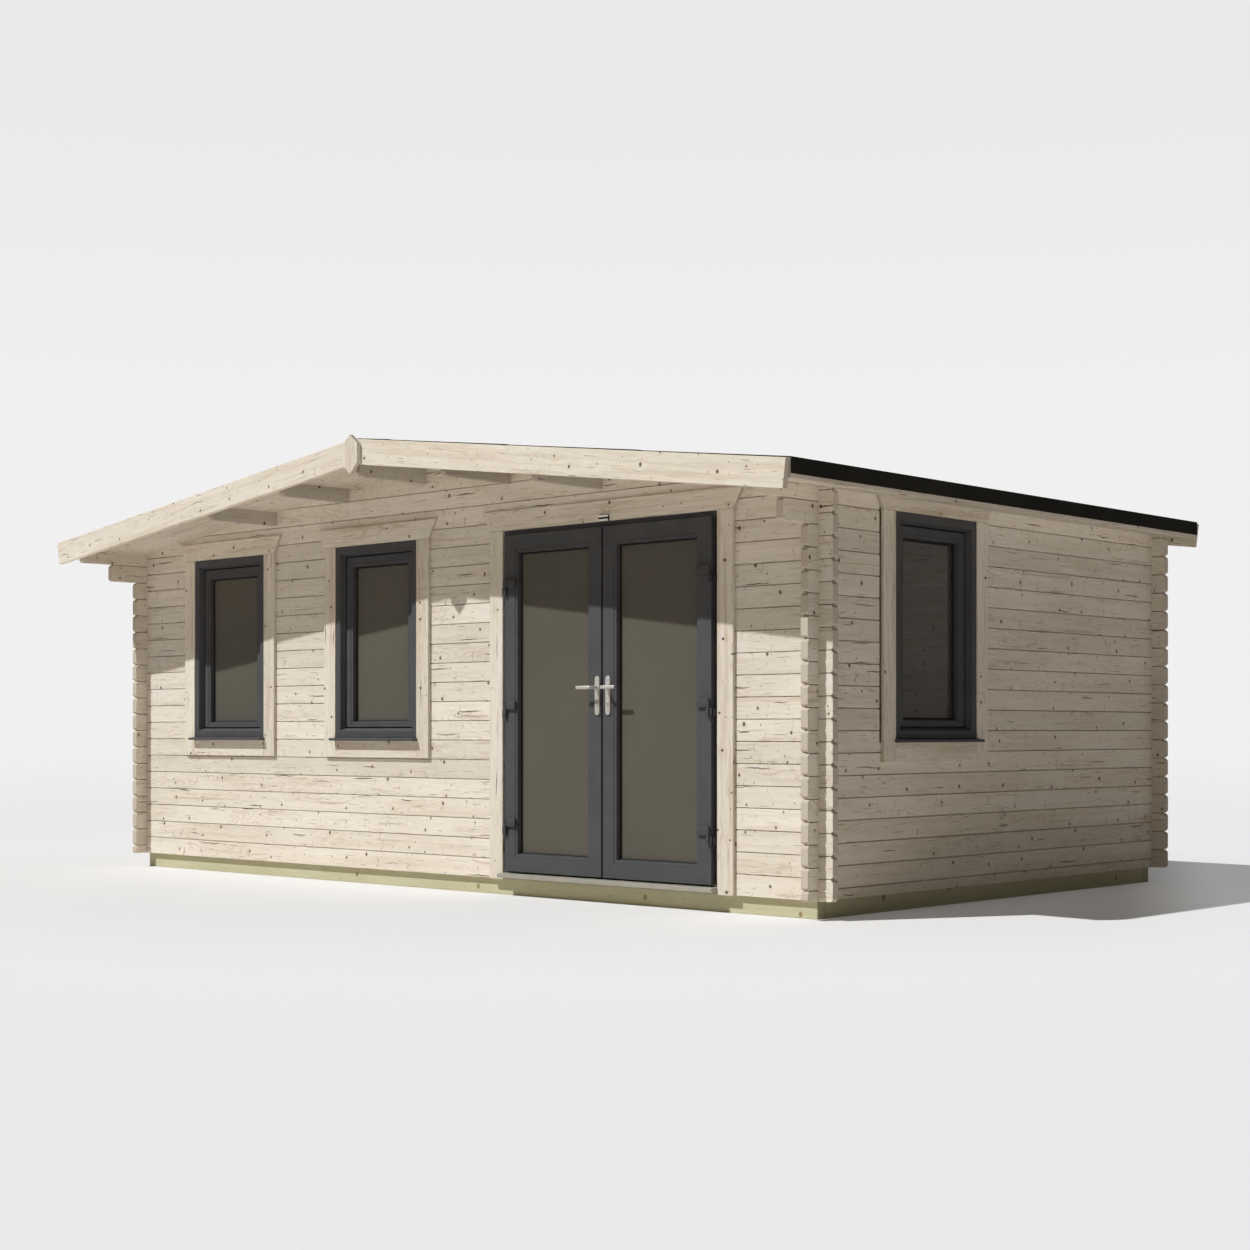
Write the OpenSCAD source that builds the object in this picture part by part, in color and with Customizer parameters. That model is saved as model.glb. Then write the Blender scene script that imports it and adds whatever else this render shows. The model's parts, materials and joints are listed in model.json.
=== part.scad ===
// Gable-fronted log cabin with double glazed doors and three windows.
// Millimetres, +Z up, front wall towards -Y. The origin is on the ground,
// in the middle of the wall footprint, under the middle floor joist.

/* [Log walls] */
// Width over the outer faces of the side walls
wall_w = 5914; // [5600:1:7400]
// Depth over the outer faces of the front and back walls
wall_d = 3454; // [2600:1:5000]
// Visible height of one log
log_h = 114; // [112:1:126]
// Thickness of a log
log_t = 44; // [34:1:60]
// Rows of logs in the front wall below the gable
log_rows = 18; // [18:1:20]
// Height of the sloping top log of a side wall, at its outer face
eave_log_h = 99; // [60:1:110]
// Length of crossed log ends past the corner
log_end = 88; // [60:1:140]
// Chamfer at the top and bottom of each log end
end_chamfer = 18; // [4:1:24]
// Width of the V joint between two logs
joint_w = 8; // [4:1:14]
// Length of the bracket log under the front eaves
bracket_len = 283; // [120:1:400]

/* [Base and floor] */
// Height of the bearers on the ground
bearer_h = 92; // [45:1:120]
// Width of a bearer
bearer_w = 70; // [58:1:120]
// Distance of the bearers behind the wall faces
bearer_in = 30; // [0:1:32]
// Width of a floor joist
joist_w = 45; // [38:1:70]
// Number of floor joists between the side bearers
joist_count = 9; // [5:2:13]
// Thickness of the floor boards
floor_t = 28; // [18:1:36]
// Gap between the floor boards and the walls
floor_gap = 6; // [2:1:12]

/* [Roof] */
// Roof pitch in degrees
roof_pitch = 7.23; // [5:0.01:12]
// Front overhang, from the wall to the face of the bargeboards
front_over = 545; // [300:1:700]
// Back overhang, from the wall to the face of the bargeboards
back_over = 149; // [149:1:400]
// Side overhang, from the wall to the face of the eaves boards
side_over = 221; // [150:1:400]
// Thickness of the roof boards
board_t = 20; // [16:1:28]
// Thickness of the roof insulation
insul_t = 58; // [30:1:100]
// Thickness of the roof felt
felt_t = 6; // [3:1:10]
// Height of the felt that is turned down at the eaves
felt_lap = 80; // [50:1:90]
// Thickness of the eaves boards
eaves_t = 20; // [16:1:28]
// How far the eaves boards hang below the roof boards
eaves_lip = 17; // [5:1:30]
// Width of a bargeboard
barge_h = 145; // [120:1:200]
// Thickness of a bargeboard
barge_t = 36; // [18:1:40]
// Height of the felt above the bargeboards
felt_rise = 10; // [0:1:20]
// Thickness of a purlin
purlin_w = 36; // [30:1:60]
// Depth of the purlins at either side of the ridge
purlin_h = 105; // [80:1:140]
// Depth of the ridge purlin
ridge_h = 140; // [100:1:180]
// Distance between purlins
purlin_gap = 727; // [600:1:900]
// Chamfer at the lower end of each purlin
purlin_chamfer = 22; // [4:1:40]
// Width of the finial
finial_w = 134; // [90:1:180]
// Height of the finial
finial_h = 234; // [180:1:300]
// Thickness of the finial
finial_t = 28; // [16:1:40]
// Height of the finial above the bargeboards
finial_rise = 23; // [0:1:50]

/* [Trim] */
// Height of the underside of the head trims above the ground
head_z = 2092; // [2092:1:2130]
// Width of the side trims
trim_w = 108; // [80:1:120]
// Thickness of the trims
trim_t = 20; // [12:1:30]
// Height of the head trims
head_trim_h = 114; // [80:1:120]
// Gap between a head trim and the roof boards
trim_gap = 2; // [1:1:10]
// Spread of each slanted end of a head trim
head_flare = 65; // [0:1:70]

/* [Windows] */
// Width between the window trims
win_w = 767; // [600:1:900]
// Height from the sill to the head trim
win_h = 1190; // [900:1:1500]
// From the left corner to the middle of the left front window
win_left_in = 1020; // [900:1:1040]
// From the left corner to the middle of the right front window
win_right_in = 2522; // [2400:1:2700]
// From the front corner to the middle of the side window
win_side_in = 1020; // [800:1:1400]
// Visible width of the window frame
frame_face = 58; // [40:1:70]
// Width of frame behind the trims
frame_hide = 20; // [10:1:40]
// How far the window frame stands out from the logs
frame_out = 15; // [0:1:20]
// Depth of the window frame
frame_d = 70; // [60:1:90]
// How far the sash face is behind the frame face
sash_set = 35; // [10:1:45]
// Depth of the sash
sash_d = 55; // [40:1:60]
// Visible width of the sash
sash_face = 48; // [30:1:60]
// Thickness of the window sill
sill_t = 18; // [10:1:24]
// How far the sill stands out from the logs
sill_out = 63; // [30:1:80]
// Length of the sill over each side trim
sill_horn = 11; // [0:1:60]
// Height of the trim under the sill
sill_trim_h = 103; // [60:1:130]

/* [Glazing] */
// Width of the glazing bead
bead_w = 30; // [16:1:40]
// Step from the sash or leaf face down to the bead
bead_set = 10; // [4:1:14]
// Distance of the glass behind the face of its sash or leaf
glass_set = 26; // [16:1:30]
// Thickness of the sealed glass unit
glass_t = 24; // [14:1:26]
// Width of glass hidden behind the bead
glass_hide = 10; // [6:1:14]
// Free space around the glass in its rebate
glass_gap = 2; // [1:0.5:4]

/* [Doors] */
// Width between the door trims
door_w = 1612; // [1200:1:1700]
// From the right corner to the middle of the doorway
door_in = 1452; // [1400:1:1500]
// Width of door frame behind the trims
door_hide = 40; // [20:1:60]
// Depth of the door frame
door_frame_d = 70; // [66:1:90]
// Gap between the trims and the edges of the door leaves
leaf_reveal = 31; // [20:1:36]
// Free space between a leaf and the door frame
leaf_gap = 6; // [5:1:10]
// Gap between the two leaves
meet_gap = 13; // [10:1:16]
// How far that gap is left of the middle of the doorway
meet_shift = 9; // [0:1:12]
// Gap under the leaves
foot_gap = 9; // [6:1:12]
// Thickness of a leaf
leaf_t = 60; // [54:1:60]
// How far the leaves stand out from the logs
leaf_out = 30; // [26:1:36]
// Width of the stiles and rails of a leaf
stile_w = 82; // [70:1:110]
// How far the stop of the door frame reaches behind the leaves
stop_w = 18; // [10:1:26]
// Height of the threshold above the bearers
sill_board_t = 40; // [34:1:50]
// Height of the nosing along its front
nosing_h = 28; // [18:1:32]
// How far the threshold stands out from the logs
threshold_out = 65; // [40:1:90]

/* [Door hardware] */
// Distance of the hinge pins in front of the leaf faces
pin_out = 11; // [11:1:16]
// Distance of the hinge pins from the outer edges of the leaves
pin_in = 13; // [8:1:20]
// Diameter of a hinge barrel
barrel_d = 20; // [16:1:20]
// Diameter of a hinge pin
pin_d = 10; // [8:1:12]
// Free space around a hinge pin
pin_gap = 0.3; // [0.2:0.1:0.6]
// Height of the leaf part of a hinge
hinge_h = 48; // [40:1:70]
// Height of the frame part of a hinge
knuckle_h = 44; // [30:1:50]
// Free space between the two hinge knuckles
knuckle_gap = 2; // [1:0.5:3]
// Width of the hinge plate on the leaf
hinge_w = 92; // [60:1:100]
// Thickness of the flags that reach round the leaf edges to the frame
flag_t = 7; // [5:1:8]
// Free space between these flags and the leaf faces
flag_gap = 1; // [0.5:0.5:2]
// Thickness of the hinge plate
hinge_t = 14; // [8:1:16]
// Height of the top of the lowest hinge above the ground
hinge_low = 446; // [300:1:600]
// Height of the top of the middle hinge above the ground
hinge_mid = 1114; // [900:1:1300]
// Height of the top of the highest hinge above the ground
hinge_high = 1812; // [1500:1:1950]
// Width of a handle plate
plate_w = 34; // [28:1:40]
// Height of a handle plate
plate_h = 214; // [180:1:250]
// Thickness of a handle plate
plate_t = 8; // [7:1:12]
// Height of the middle of the handle plates above the ground
plate_z = 1138; // [1000:1:1200]
// Distance of a handle plate from the middle of the doorway
plate_in = 40; // [30:1:50]
// Height of the levers above the ground
lever_z = 1182; // [1050:1:1230]
// Length of a lever
lever_len = 105; // [80:1:130]
// Height of a lever
lever_h = 20; // [14:1:24]
// Thickness of a lever
lever_t = 12; // [8:1:16]
// Distance from the handle plate to the back of the lever
lever_out = 51; // [35:1:60]
// Diameter of the lever neck
neck_d = 18; // [12:1:20]
// Depth of the lever neck in the handle plate
neck_in = 5; // [3:1:6]
// Free space around the lever neck
neck_gap = 0.5; // [0.3:0.1:1]
// Width of the keep above the leaves
keep_w = 74; // [50:1:100]
// Height of the keep
keep_h = 33; // [24:1:40]
// Depth of the keep
keep_d = 14; // [8:1:20]

/* [Hidden] */
$fn = 48;

PINE = "burlywood";
TREATED = "darkkhaki";
ANTHRACITE = "dimgray";
FELT = "black";
STEEL = "silver";
GLASS = "slategray";

half_w = wall_w / 2;
half_d = wall_d / 2;
slope = tan(roof_pitch);

// Log rows: front and back logs start at row 0, side logs half a row lower
function row_z(k) = bearer_h + k * log_h;
gable_z = row_z(log_rows);
bracket_z = row_z(log_rows - 0.5);
front_joints = [for (k = [1 : log_rows]) row_z(k)];
side_joints = [for (k = [0 : log_rows - 1]) row_z(k + 0.5)];

// Underside of the roof boards and the layers above it, by distance from the ridge
eave_z = bracket_z + eave_log_h;
function soffit(x) = eave_z + (half_w - abs(x)) * slope;
function rise(t) = t / cos(roof_pitch);

// Width of the left (-1) or right (1) leaf
function leaf_w(s) = leaf_x - meet_gap / 2 + s * meet_shift;
ridge_row = log_rows + ceil((soffit(0) - gable_z) / log_h);
gable_joints = [for (k = [log_rows + 1 : ridge_row]) row_z(k)];
insul_top = board_t + insul_t;
felt_top = insul_top + felt_t;
roof_x = half_w + side_over;
board_x = roof_x - eaves_t;
roof_y0 = -half_d - front_over + barge_t;
roof_y1 = half_d + back_over - barge_t;
barge_top = rise(felt_top) - felt_rise;

floor_top = bearer_h + floor_t;

// Windows
win_z0 = head_z - win_h;
sash_x = win_w - 2 * frame_face;
sash_z = win_h - 2 * frame_face;

// Doorway, with its middle at door_x
door_x = half_w - door_in;
open_w = door_w + 2 * door_hide;
leaf_x = door_w / 2 - leaf_reveal;
leaf_z0 = bearer_h + sill_board_t + foot_gap;
leaf_z1 = head_z - leaf_reveal + 2;
leaf_h = leaf_z1 - leaf_z0;
jamb_x = leaf_x + leaf_gap;
frame_under = leaf_z1 + leaf_gap;
frame_top = head_z + frame_hide + 8;
face_y = -half_d;
leaf_y = face_y - leaf_out;
pin_x = leaf_x - pin_in;
pin_y = leaf_y - pin_out;
hinge_tops = [hinge_low, hinge_mid, hinge_high];
plate_y = leaf_y - plate_t;

// A 2D shape in x and z, drawn from y0 to y1
module along_y(y0, y1) {
    translate([0, y1, 0]) rotate([90, 0, 0]) linear_extrude(y1 - y0) children();
}

// A 2D shape in y and z, drawn from x0 to x1
module along_x(x0, x1) {
    translate([x0, 0, 0]) rotate([90, 0, 90]) linear_extrude(x1 - x0) children();
}

module box2(x0, x1, z0, z1) {
    translate([x0, z0]) square([x1 - x0, z1 - z0]);
}

module block(x0, x1, y0, y1, z0, z1) {
    translate([x0, y0, z0]) cube([x1 - x0, y1 - y0, z1 - z0]);
}

// ---- log walls ----

// Cross-section of a stack of logs from z0 to z1, with V joints on both faces
module log_stack(z0, z1, joints, face) {
    difference() {
        box2(face, face + log_t, z0, z1);
        for (z = joints, t = [face, face + log_t])
            translate([t, z]) rotate(45) square(joint_w / sqrt(2), center = true);
    }
}

// One end of a log seen from its side, as outline points from bottom to top
function end_points(x, z0, z1, cut_top) = [
    [x - end_chamfer, z0], [x, z0 + end_chamfer],
    if (cut_top) [x, z1 - end_chamfer],
    if (cut_top) [x - end_chamfer, z1],
    if (!cut_top) [x, z1]
];

// A row of logs seen from its side, with chamfered ends at -left and right
module log_side(left, right, z0, z1, cut_top = true) {
    a = end_points(left, z0, z1, cut_top);
    b = end_points(right, z0, z1, cut_top);
    polygon(concat([for (p = b) p], [for (i = [len(a) - 1 : -1 : 0]) [-a[i].x, a[i].y]]));
}

// The right roof slope from y0 to y1 and from the ridge to x1, between two heights
// above the soffit, which are measured square to the slope
module slope_slab(x1, y0, y1, z0, z1) {
    intersection() {
        translate([0, 0, soffit(0)]) rotate([0, roof_pitch, 0])
            block(-half_w, 2 * half_w, y0, y1, z0, z1);
        block(0, x1, y0, y1, 0, 2 * soffit(0));
    }
}

// Everything above the underside of the roof boards
module over_roof() {
    for (s = [0, 1]) mirror([s, 0, 0])
        slope_slab(roof_x, roof_y0 - 1, roof_y1 + 1, 0, 5 * log_h);
}

// The part of each side log that passes through the corner, as heights
side_necks = [for (k = [0 : log_rows]) [row_z(max(k - 0.25, 0)), row_z(min(k + 0.25, log_rows))]];
// The same for each front or back log
front_necks = [
    for (k = [0 : log_rows - 1]) [row_z(k + 0.25), row_z(k + 0.75)],
    [gable_z, gable_z + 2 * log_h]
];

// Outline of the front and back walls between two rows, notched for the side logs
module front_outline(k0, k1) {
    difference() {
        for (k = [k0 : k1 - 1])
            log_side(half_w + log_end, half_w + log_end, row_z(k), row_z(k + 1));
        for (n = side_necks, s = [-1, 1])
            if (n[0] < row_z(k1) && n[1] > row_z(k0))
                box2(s > 0 ? half_w - log_t : -half_w,
                    s > 0 ? half_w : log_t - half_w, n[0], n[1]);
    }
}

module front_or_back(k0, k1, joints, face) {
    intersection() {
        along_x(-half_w - log_end, half_w + log_end)
            log_stack(row_z(k0), row_z(k1), joints, face);
        along_y(face - 1, face + log_t + 1) difference() {
            front_outline(k0, k1);
            children();
        }
    }
}

// The notches that hold the purlins in a gable
module purlin_notches() {
    for (i = [-2 : 2])
        translate([i * purlin_gap, 0])
            box2(-purlin_w / 2, purlin_w / 2, purlin_under(i), row_z(ridge_row) + 1);
}

// The front wall below the gable, from x0 to x1
module front_lower(x0, x1) {
    front_or_back(0, log_rows, front_joints, -half_d) {
        for (x = [win_left_in - half_w, win_right_in - half_w]) window_hole(x);
        box2(-2 * half_w, x0, 0, gable_z + 1);
        box2(x1, 2 * half_w, 0, gable_z + 1);
    }
}

module window_hole(x) {
    box2(x - win_w / 2 - frame_hide, x + win_w / 2 + frame_hide,
        win_z0 - sill_t, head_z + frame_hide);
}

module front_wall_left() {
    color(PINE) front_lower(-half_w - log_end - 1, door_x - open_w / 2);
}

module front_wall_right() {
    color(PINE) front_lower(door_x + open_w / 2, half_w + log_end + 1);
}

module front_gable() {
    color(PINE) difference() {
        front_or_back(log_rows, ridge_row, gable_joints, -half_d) purlin_notches();
        over_roof();
    }
}

module back_wall() {
    color(PINE) difference() {
        front_or_back(0, ridge_row, concat(front_joints, gable_joints), half_d - log_t)
            purlin_notches();
        over_roof();
    }
}

// Side logs from front to back, with the bracket logs under the front eaves
module side_outline() {
    back = half_d + log_end;
    front = half_d + log_end;
    difference() {
        union() {
            log_side(front, back, bearer_h, row_z(0.5));
            for (k = [0 : log_rows - 3]) log_side(front, back, row_z(k + 0.5), row_z(k + 1.5));
            log_side(half_d + bracket_len, back, row_z(log_rows - 1.5), bracket_z);
            log_side(-roof_y0, roof_y1, bracket_z, gable_z + log_h, false);
        }
        for (n = front_necks, y = [-half_d, half_d - log_t])
            box2(y, y + log_t, n[0], n[1]);
    }
}

// The side wall at s = -1 (left) or 1 (right)
module side_wall(s) {
    mirror([s > 0 ? 0 : 1, 0, 0]) difference() {
        intersection() {
            along_y(roof_y0, roof_y1)
                log_stack(bearer_h, gable_z + log_h, side_joints, half_w - log_t);
            along_x(half_w - log_t - 1, half_w + 1) difference() {
                side_outline();
                children();
            }
        }
        over_roof();
    }
}

module left_wall() {
    color(PINE) side_wall(-1);
}

module right_wall() {
    color(PINE) side_wall(1) window_hole(win_side_in - half_d);
}

// ---- base and floor ----

bearer_x = half_w - bearer_in;
bearer_y = half_d - bearer_in;

module front_bearer() {
    color(TREATED) block(-bearer_x, bearer_x, -bearer_y, bearer_w - bearer_y, 0, bearer_h);
}

module back_bearer() {
    color(TREATED) block(-bearer_x, bearer_x, bearer_y - bearer_w, bearer_y, 0, bearer_h);
}

module side_bearers() {
    y = bearer_y - bearer_w;
    color(TREATED) for (s = [0, 1])
        mirror([s, 0, 0]) block(bearer_x - bearer_w, bearer_x, -y, y, 0, bearer_h);
}

module floor_joists() {
    y = bearer_y - bearer_w;
    pitch = 2 * (bearer_x - bearer_w / 2) / (joist_count + 1);
    last = (joist_count - 1) / 2;
    color(TREATED) for (i = [-last : last])
        block(i * pitch - joist_w / 2, i * pitch + joist_w / 2, -y, y, 0, bearer_h);
}

module floor_boards() {
    x = half_w - log_t - floor_gap;
    y = half_d - log_t - floor_gap;
    frame_y = face_y + door_frame_d + floor_gap;
    color(PINE) difference() {
        block(-x, x, -y, y, bearer_h, floor_top);
        block(door_x - open_w / 2 - floor_gap, door_x + open_w / 2 + floor_gap,
            -half_d, frame_y, bearer_h - 1, floor_top + 1);
    }
}

// ---- roof ----

// Purlin i, counted from the ridge, with its lower ends chamfered
function purlin_under(i) = soffit(i * purlin_gap) - (i == 0 ? ridge_h : purlin_h);

module purlin(i) {
    x = i * purlin_gap;
    z = purlin_under(i);
    c = purlin_chamfer;
    difference() {
        along_x(x - purlin_w / 2, x + purlin_w / 2) polygon([
            [roof_y0 + c, z], [roof_y1 - c, z], [roof_y1, z + c],
            [roof_y1, row_z(ridge_row)], [roof_y0, row_z(ridge_row)], [roof_y0, z + c]
        ]);
        over_roof();
    }
}

module ridge_purlin() {
    color(PINE) purlin(0);
}

module inner_purlins() {
    color(PINE) for (i = [-1, 1]) purlin(i);
}

module outer_purlins() {
    color(PINE) for (i = [-2, 2]) purlin(i);
}

// One layer of the right roof slope
module roof_layer(z0, z1) {
    slope_slab(board_x, roof_y0, roof_y1, z0, z1);
}

module roof_boards_left() {
    color(PINE) mirror([1, 0, 0]) roof_layer(0, board_t);
}

module roof_boards_right() {
    color(PINE) roof_layer(0, board_t);
}

module insulation_left() {
    color("khaki") mirror([1, 0, 0]) roof_layer(board_t, insul_top);
}

module insulation_right() {
    color("khaki") roof_layer(board_t, insul_top);
}

// The felt of the right slope, turned down over the eaves board
module felt_half() {
    x = roof_x + felt_t;
    lap_z = soffit(x) + rise(felt_top) - felt_lap;
    slope_slab(x, roof_y0, roof_y1, insul_top, felt_top);
    difference() {
        block(roof_x, x, roof_y0, roof_y1, lap_z, soffit(0));
        slope_slab(2 * x, roof_y0 - 1, roof_y1 + 1, felt_top - felt_t / 2, 5 * log_h);
    }
}

module roof_felt_left() {
    color(FELT) mirror([1, 0, 0]) felt_half();
}

module roof_felt_right() {
    color(FELT) felt_half();
}

module eaves_boards() {
    z = soffit(roof_x) - eaves_lip;
    color(PINE) for (s = [0, 1]) mirror([s, 0, 0]) difference() {
        block(board_x, roof_x, roof_y0, roof_y1, z, soffit(0));
        slope_slab(2 * roof_x, roof_y0 - 1, roof_y1 + 1, insul_top, 5 * log_h);
    }
}

// The right bargeboard of a gable, its lower end cut square
module bargeboard(y) {
    z = soffit(roof_x) + barge_top;
    along_y(y, y + barge_t) polygon([
        [0, soffit(0) + barge_top - rise(barge_h)],
        [roof_x - barge_h * sin(roof_pitch), z - barge_h * cos(roof_pitch)],
        [roof_x, z], [0, soffit(0) + barge_top]
    ]);
}

module front_bargeboard_left() {
    color(PINE) mirror([1, 0, 0]) bargeboard(-half_d - front_over);
}

module front_bargeboard_right() {
    color(PINE) bargeboard(-half_d - front_over);
}

module back_bargeboard_left() {
    color(PINE) mirror([1, 0, 0]) bargeboard(roof_y1);
}

module back_bargeboard_right() {
    color(PINE) bargeboard(roof_y1);
}

module finial() {
    top = soffit(0) + barge_top + finial_rise;
    w = finial_w / 2;
    shoulder = finial_h * 0.235;
    foot = finial_h * 0.29;
    y = -half_d - front_over;
    color(PINE) along_y(y - finial_t, y) polygon([
        [0, top], [-w, top - shoulder], [-w, top - finial_h + foot], [0, top - finial_h],
        [w, top - finial_h + foot], [w, top - shoulder]
    ]);
}

// ---- windows, each drawn in a front wall at x = 0 with the log face at y = 0 ----

module ring(w, h, member, y0, y1) {
    along_y(y0, y1) difference() {
        translate([-w / 2, 0]) square([w, h]);
        translate([member - w / 2, member]) square([w - 2 * member, h - 2 * member]);
    }
}

// Puts its children at the two front windows and the side window
module at_windows() {
    at_front_windows() children();
    at_side_window() children();
}

module at_front_windows() {
    for (x = [win_left_in - half_w, win_right_in - half_w])
        translate([x, -half_d, win_z0]) children();
}

module at_side_window() {
    translate([half_w, win_side_in - half_d, win_z0]) rotate([0, 0, 90]) children();
}

// A frame with a bead step on its face and a rebate for glass at its back
module glazed_ring(w, h, face, y0, y1) {
    wide = face + bead_w;
    pocket = wide - glass_hide - glass_gap;
    difference() {
        ring(w, h, wide, y0, y1);
        along_y(y0 - 1, y0 + bead_set) translate([face - w / 2, face])
            square([w - 2 * face, h - 2 * face]);
        along_y(y0 + glass_set, y1 + 1) translate([pocket - w / 2, pocket])
            square([w - 2 * pocket, h - 2 * pocket]);
    }
}

// The sealed unit that lies against the front of that rebate
module glass_unit(w, h, face, y0) {
    edge = face + bead_w - glass_hide;
    translate([edge - w / 2, y0 + glass_set, edge])
        cube([w - 2 * edge, glass_t, h - 2 * edge]);
}

// The front of a frame fits between the trims, and the rest fills the wall opening
module window_frames() {
    x = win_w / 2;
    color(ANTHRACITE) at_windows() difference() {
        union() {
            block(-x, x, -frame_out, 0, -sill_t, win_h);
            block(-x - frame_hide, x + frame_hide, 0, frame_d - frame_out,
                -sill_t, win_h + frame_hide);
        }
        block(frame_face - x, x - frame_face, -frame_out - 1, frame_d,
            frame_face, win_h - frame_face);
    }
}

module window_sashes() {
    color(ANTHRACITE) at_windows() translate([0, 0, frame_face])
        glazed_ring(sash_x, sash_z, sash_face, sash_set - frame_out,
            sash_set - frame_out + sash_d);
}

module window_glass() {
    color(GLASS) at_windows() translate([0, 0, frame_face])
        glass_unit(sash_x, sash_z, sash_face, sash_set - frame_out);
}

module window_sills() {
    x = win_w / 2;
    color(ANTHRACITE) at_windows() translate([0, 0, -sill_t]) {
        block(-x, x, -sill_out, -frame_out, 0, sill_t);
        block(-x - sill_horn, x + sill_horn, -sill_out, -trim_t, 0, sill_t);
    }
}

// Two upright trims of height h from z0, either side of an opening
module side_trims(w, z0, h) {
    for (s = [0, 1]) mirror([s, 0, 0]) block(w / 2, w / 2 + trim_w, -trim_t, 0, z0, z0 + h);
}

// A head trim of height h with slanted ends over an opening
module head_trim(w, h) {
    x = w / 2 + trim_w;
    end_x = x + head_flare * h / head_trim_h;
    along_y(-trim_t, 0) polygon([[-x, 0], [x, 0], [end_x, h], [-end_x, h]]);
}

// The trims of one window, with a head trim of height head_h
module trim_set(head_h) {
    low = -sill_t - sill_trim_h;
    side_trims(win_w, low, win_h - low);
    block(-win_w / 2, win_w / 2, -trim_t, 0, low, -sill_t);
    translate([0, 0, win_h]) head_trim(win_w, head_h);
}

// The side window's head trim ends under the eaves
module window_trims() {
    room = soffit(half_w + trim_t) - head_z - trim_gap;
    color(PINE) {
        at_front_windows() trim_set(head_trim_h);
        at_side_window() trim_set(min(head_trim_h, room));
    }
}

// ---- doors ----

module at_door(z = 0) {
    translate([door_x, face_y, z]) children();
}

// Puts its children, drawn for the right leaf, at the left (-1) or right (1) leaf
module leaf_side(s) {
    translate([door_x, 0, 0]) mirror([s > 0 ? 0 : 1, 0, 0]) children();
}

module door_frame() {
    out = open_w / 2;
    foot = bearer_h + sill_board_t;
    stop_y = leaf_t - leaf_out + leaf_gap;
    color(ANTHRACITE) at_door() {
        along_y(0, door_frame_d) difference() {
            box2(-out, out, foot, frame_top);
            box2(-jamb_x, jamb_x, foot - 1, frame_under);
        }
        along_y(stop_y, door_frame_d) difference() {
            box2(-jamb_x, jamb_x, foot, frame_under);
            box2(stop_w - leaf_x, leaf_x - stop_w, foot - 1, leaf_z1 - stop_w);
        }
    }
}

module door_trim() {
    color(PINE) at_door() {
        side_trims(door_w, bearer_h, head_z - bearer_h);
        translate([0, 0, head_z]) head_trim(door_w, head_trim_h);
    }
}

module threshold() {
    color("tan") at_door(bearer_h) {
        block(-door_w / 2, door_w / 2, -threshold_out, 0, sill_board_t - nosing_h,
            sill_board_t);
        block(-open_w / 2, open_w / 2, 0, door_frame_d, 0, sill_board_t);
    }
}

module door_keep() {
    slot_h = keep_h / 4;
    slot_w = keep_w - 2 * slot_h;
    color(STEEL) at_door(head_z) difference() {
        block(-keep_w / 2, keep_w / 2, -trim_t - keep_d, -trim_t, 0, keep_h);
        block(-slot_w / 2, slot_w / 2, -trim_t - keep_d - 1, -trim_t - 3,
            (keep_h - slot_h) / 2, (keep_h + slot_h) / 2);
    }
}

module leaf(s) {
    w = leaf_w(s);
    color(ANTHRACITE) leaf_side(s) translate([leaf_x - w / 2, 0, leaf_z0])
        glazed_ring(w, leaf_h, stile_w, leaf_y, leaf_y + leaf_t);
}

module leaf_glass(s) {
    w = leaf_w(s);
    color(GLASS) leaf_side(s) translate([leaf_x - w / 2, 0, leaf_z0])
        glass_unit(w, leaf_h, stile_w, leaf_y);
}

module left_leaf() {
    leaf(-1);
}

module right_leaf() {
    leaf(1);
}

module left_leaf_glass() {
    leaf_glass(-1);
}

module right_leaf_glass() {
    leaf_glass(1);
}

// The lower knuckles, with their pins and the flags that reach the door frame
module frame_hinges() {
    flag_x = jamb_x + 2;
    flag_back = leaf_y - flag_gap;
    color(ANTHRACITE) for (s = [-1, 1], top = hinge_tops)
        leaf_side(s) translate([0, 0, top - hinge_h - knuckle_gap - knuckle_h]) {
            translate([pin_x, pin_y, 0]) cylinder(d = barrel_d, h = knuckle_h);
            translate([pin_x, pin_y, 0])
                cylinder(d = pin_d, h = knuckle_h + knuckle_gap + hinge_h / 2);
            block(pin_x, flag_x + flag_t, flag_back - flag_t, flag_back, 0, knuckle_h);
            block(flag_x, flag_x + flag_t, flag_back - flag_t, face_y, 0, knuckle_h);
        }
}

// The upper knuckles and plates on the face of a leaf
module leaf_hinges(s) {
    color(ANTHRACITE) leaf_side(s) for (top = hinge_tops)
        translate([0, 0, top - hinge_h]) difference() {
            union() {
                translate([pin_x, pin_y, 0]) cylinder(d = barrel_d, h = hinge_h);
                block(leaf_x - hinge_w, pin_x, leaf_y - hinge_t, leaf_y, 0, hinge_h);
            }
            translate([pin_x, pin_y, -1])
                cylinder(d = pin_d + 2 * pin_gap, h = hinge_h / 2 + 3);
        }
}

module left_leaf_hinges() {
    leaf_hinges(-1);
}

module right_leaf_hinges() {
    leaf_hinges(1);
}

// The long plate with round ends, bored for the lever neck
module handle_plate(s) {
    r = plate_w / 2;
    color(STEEL) leaf_side(s) translate([plate_in, leaf_y, plate_z]) difference() {
        rotate([90, 0, 0]) union() {
            for (z = [-1, 1]) translate([0, z * (plate_h / 2 - r), 0])
                cylinder(r = r, h = plate_t);
            translate([-r, r - plate_h / 2, 0]) cube([plate_w, plate_h - 2 * r, plate_t]);
        }
        translate([0, neck_in + 1 - plate_t, lever_z - plate_z]) rotate([90, 0, 0])
            cylinder(d = neck_d + 2 * neck_gap, h = neck_in + 2);
    }
}

module left_handle_plate() {
    handle_plate(-1);
}

module right_handle_plate() {
    handle_plate(1);
}

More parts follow.
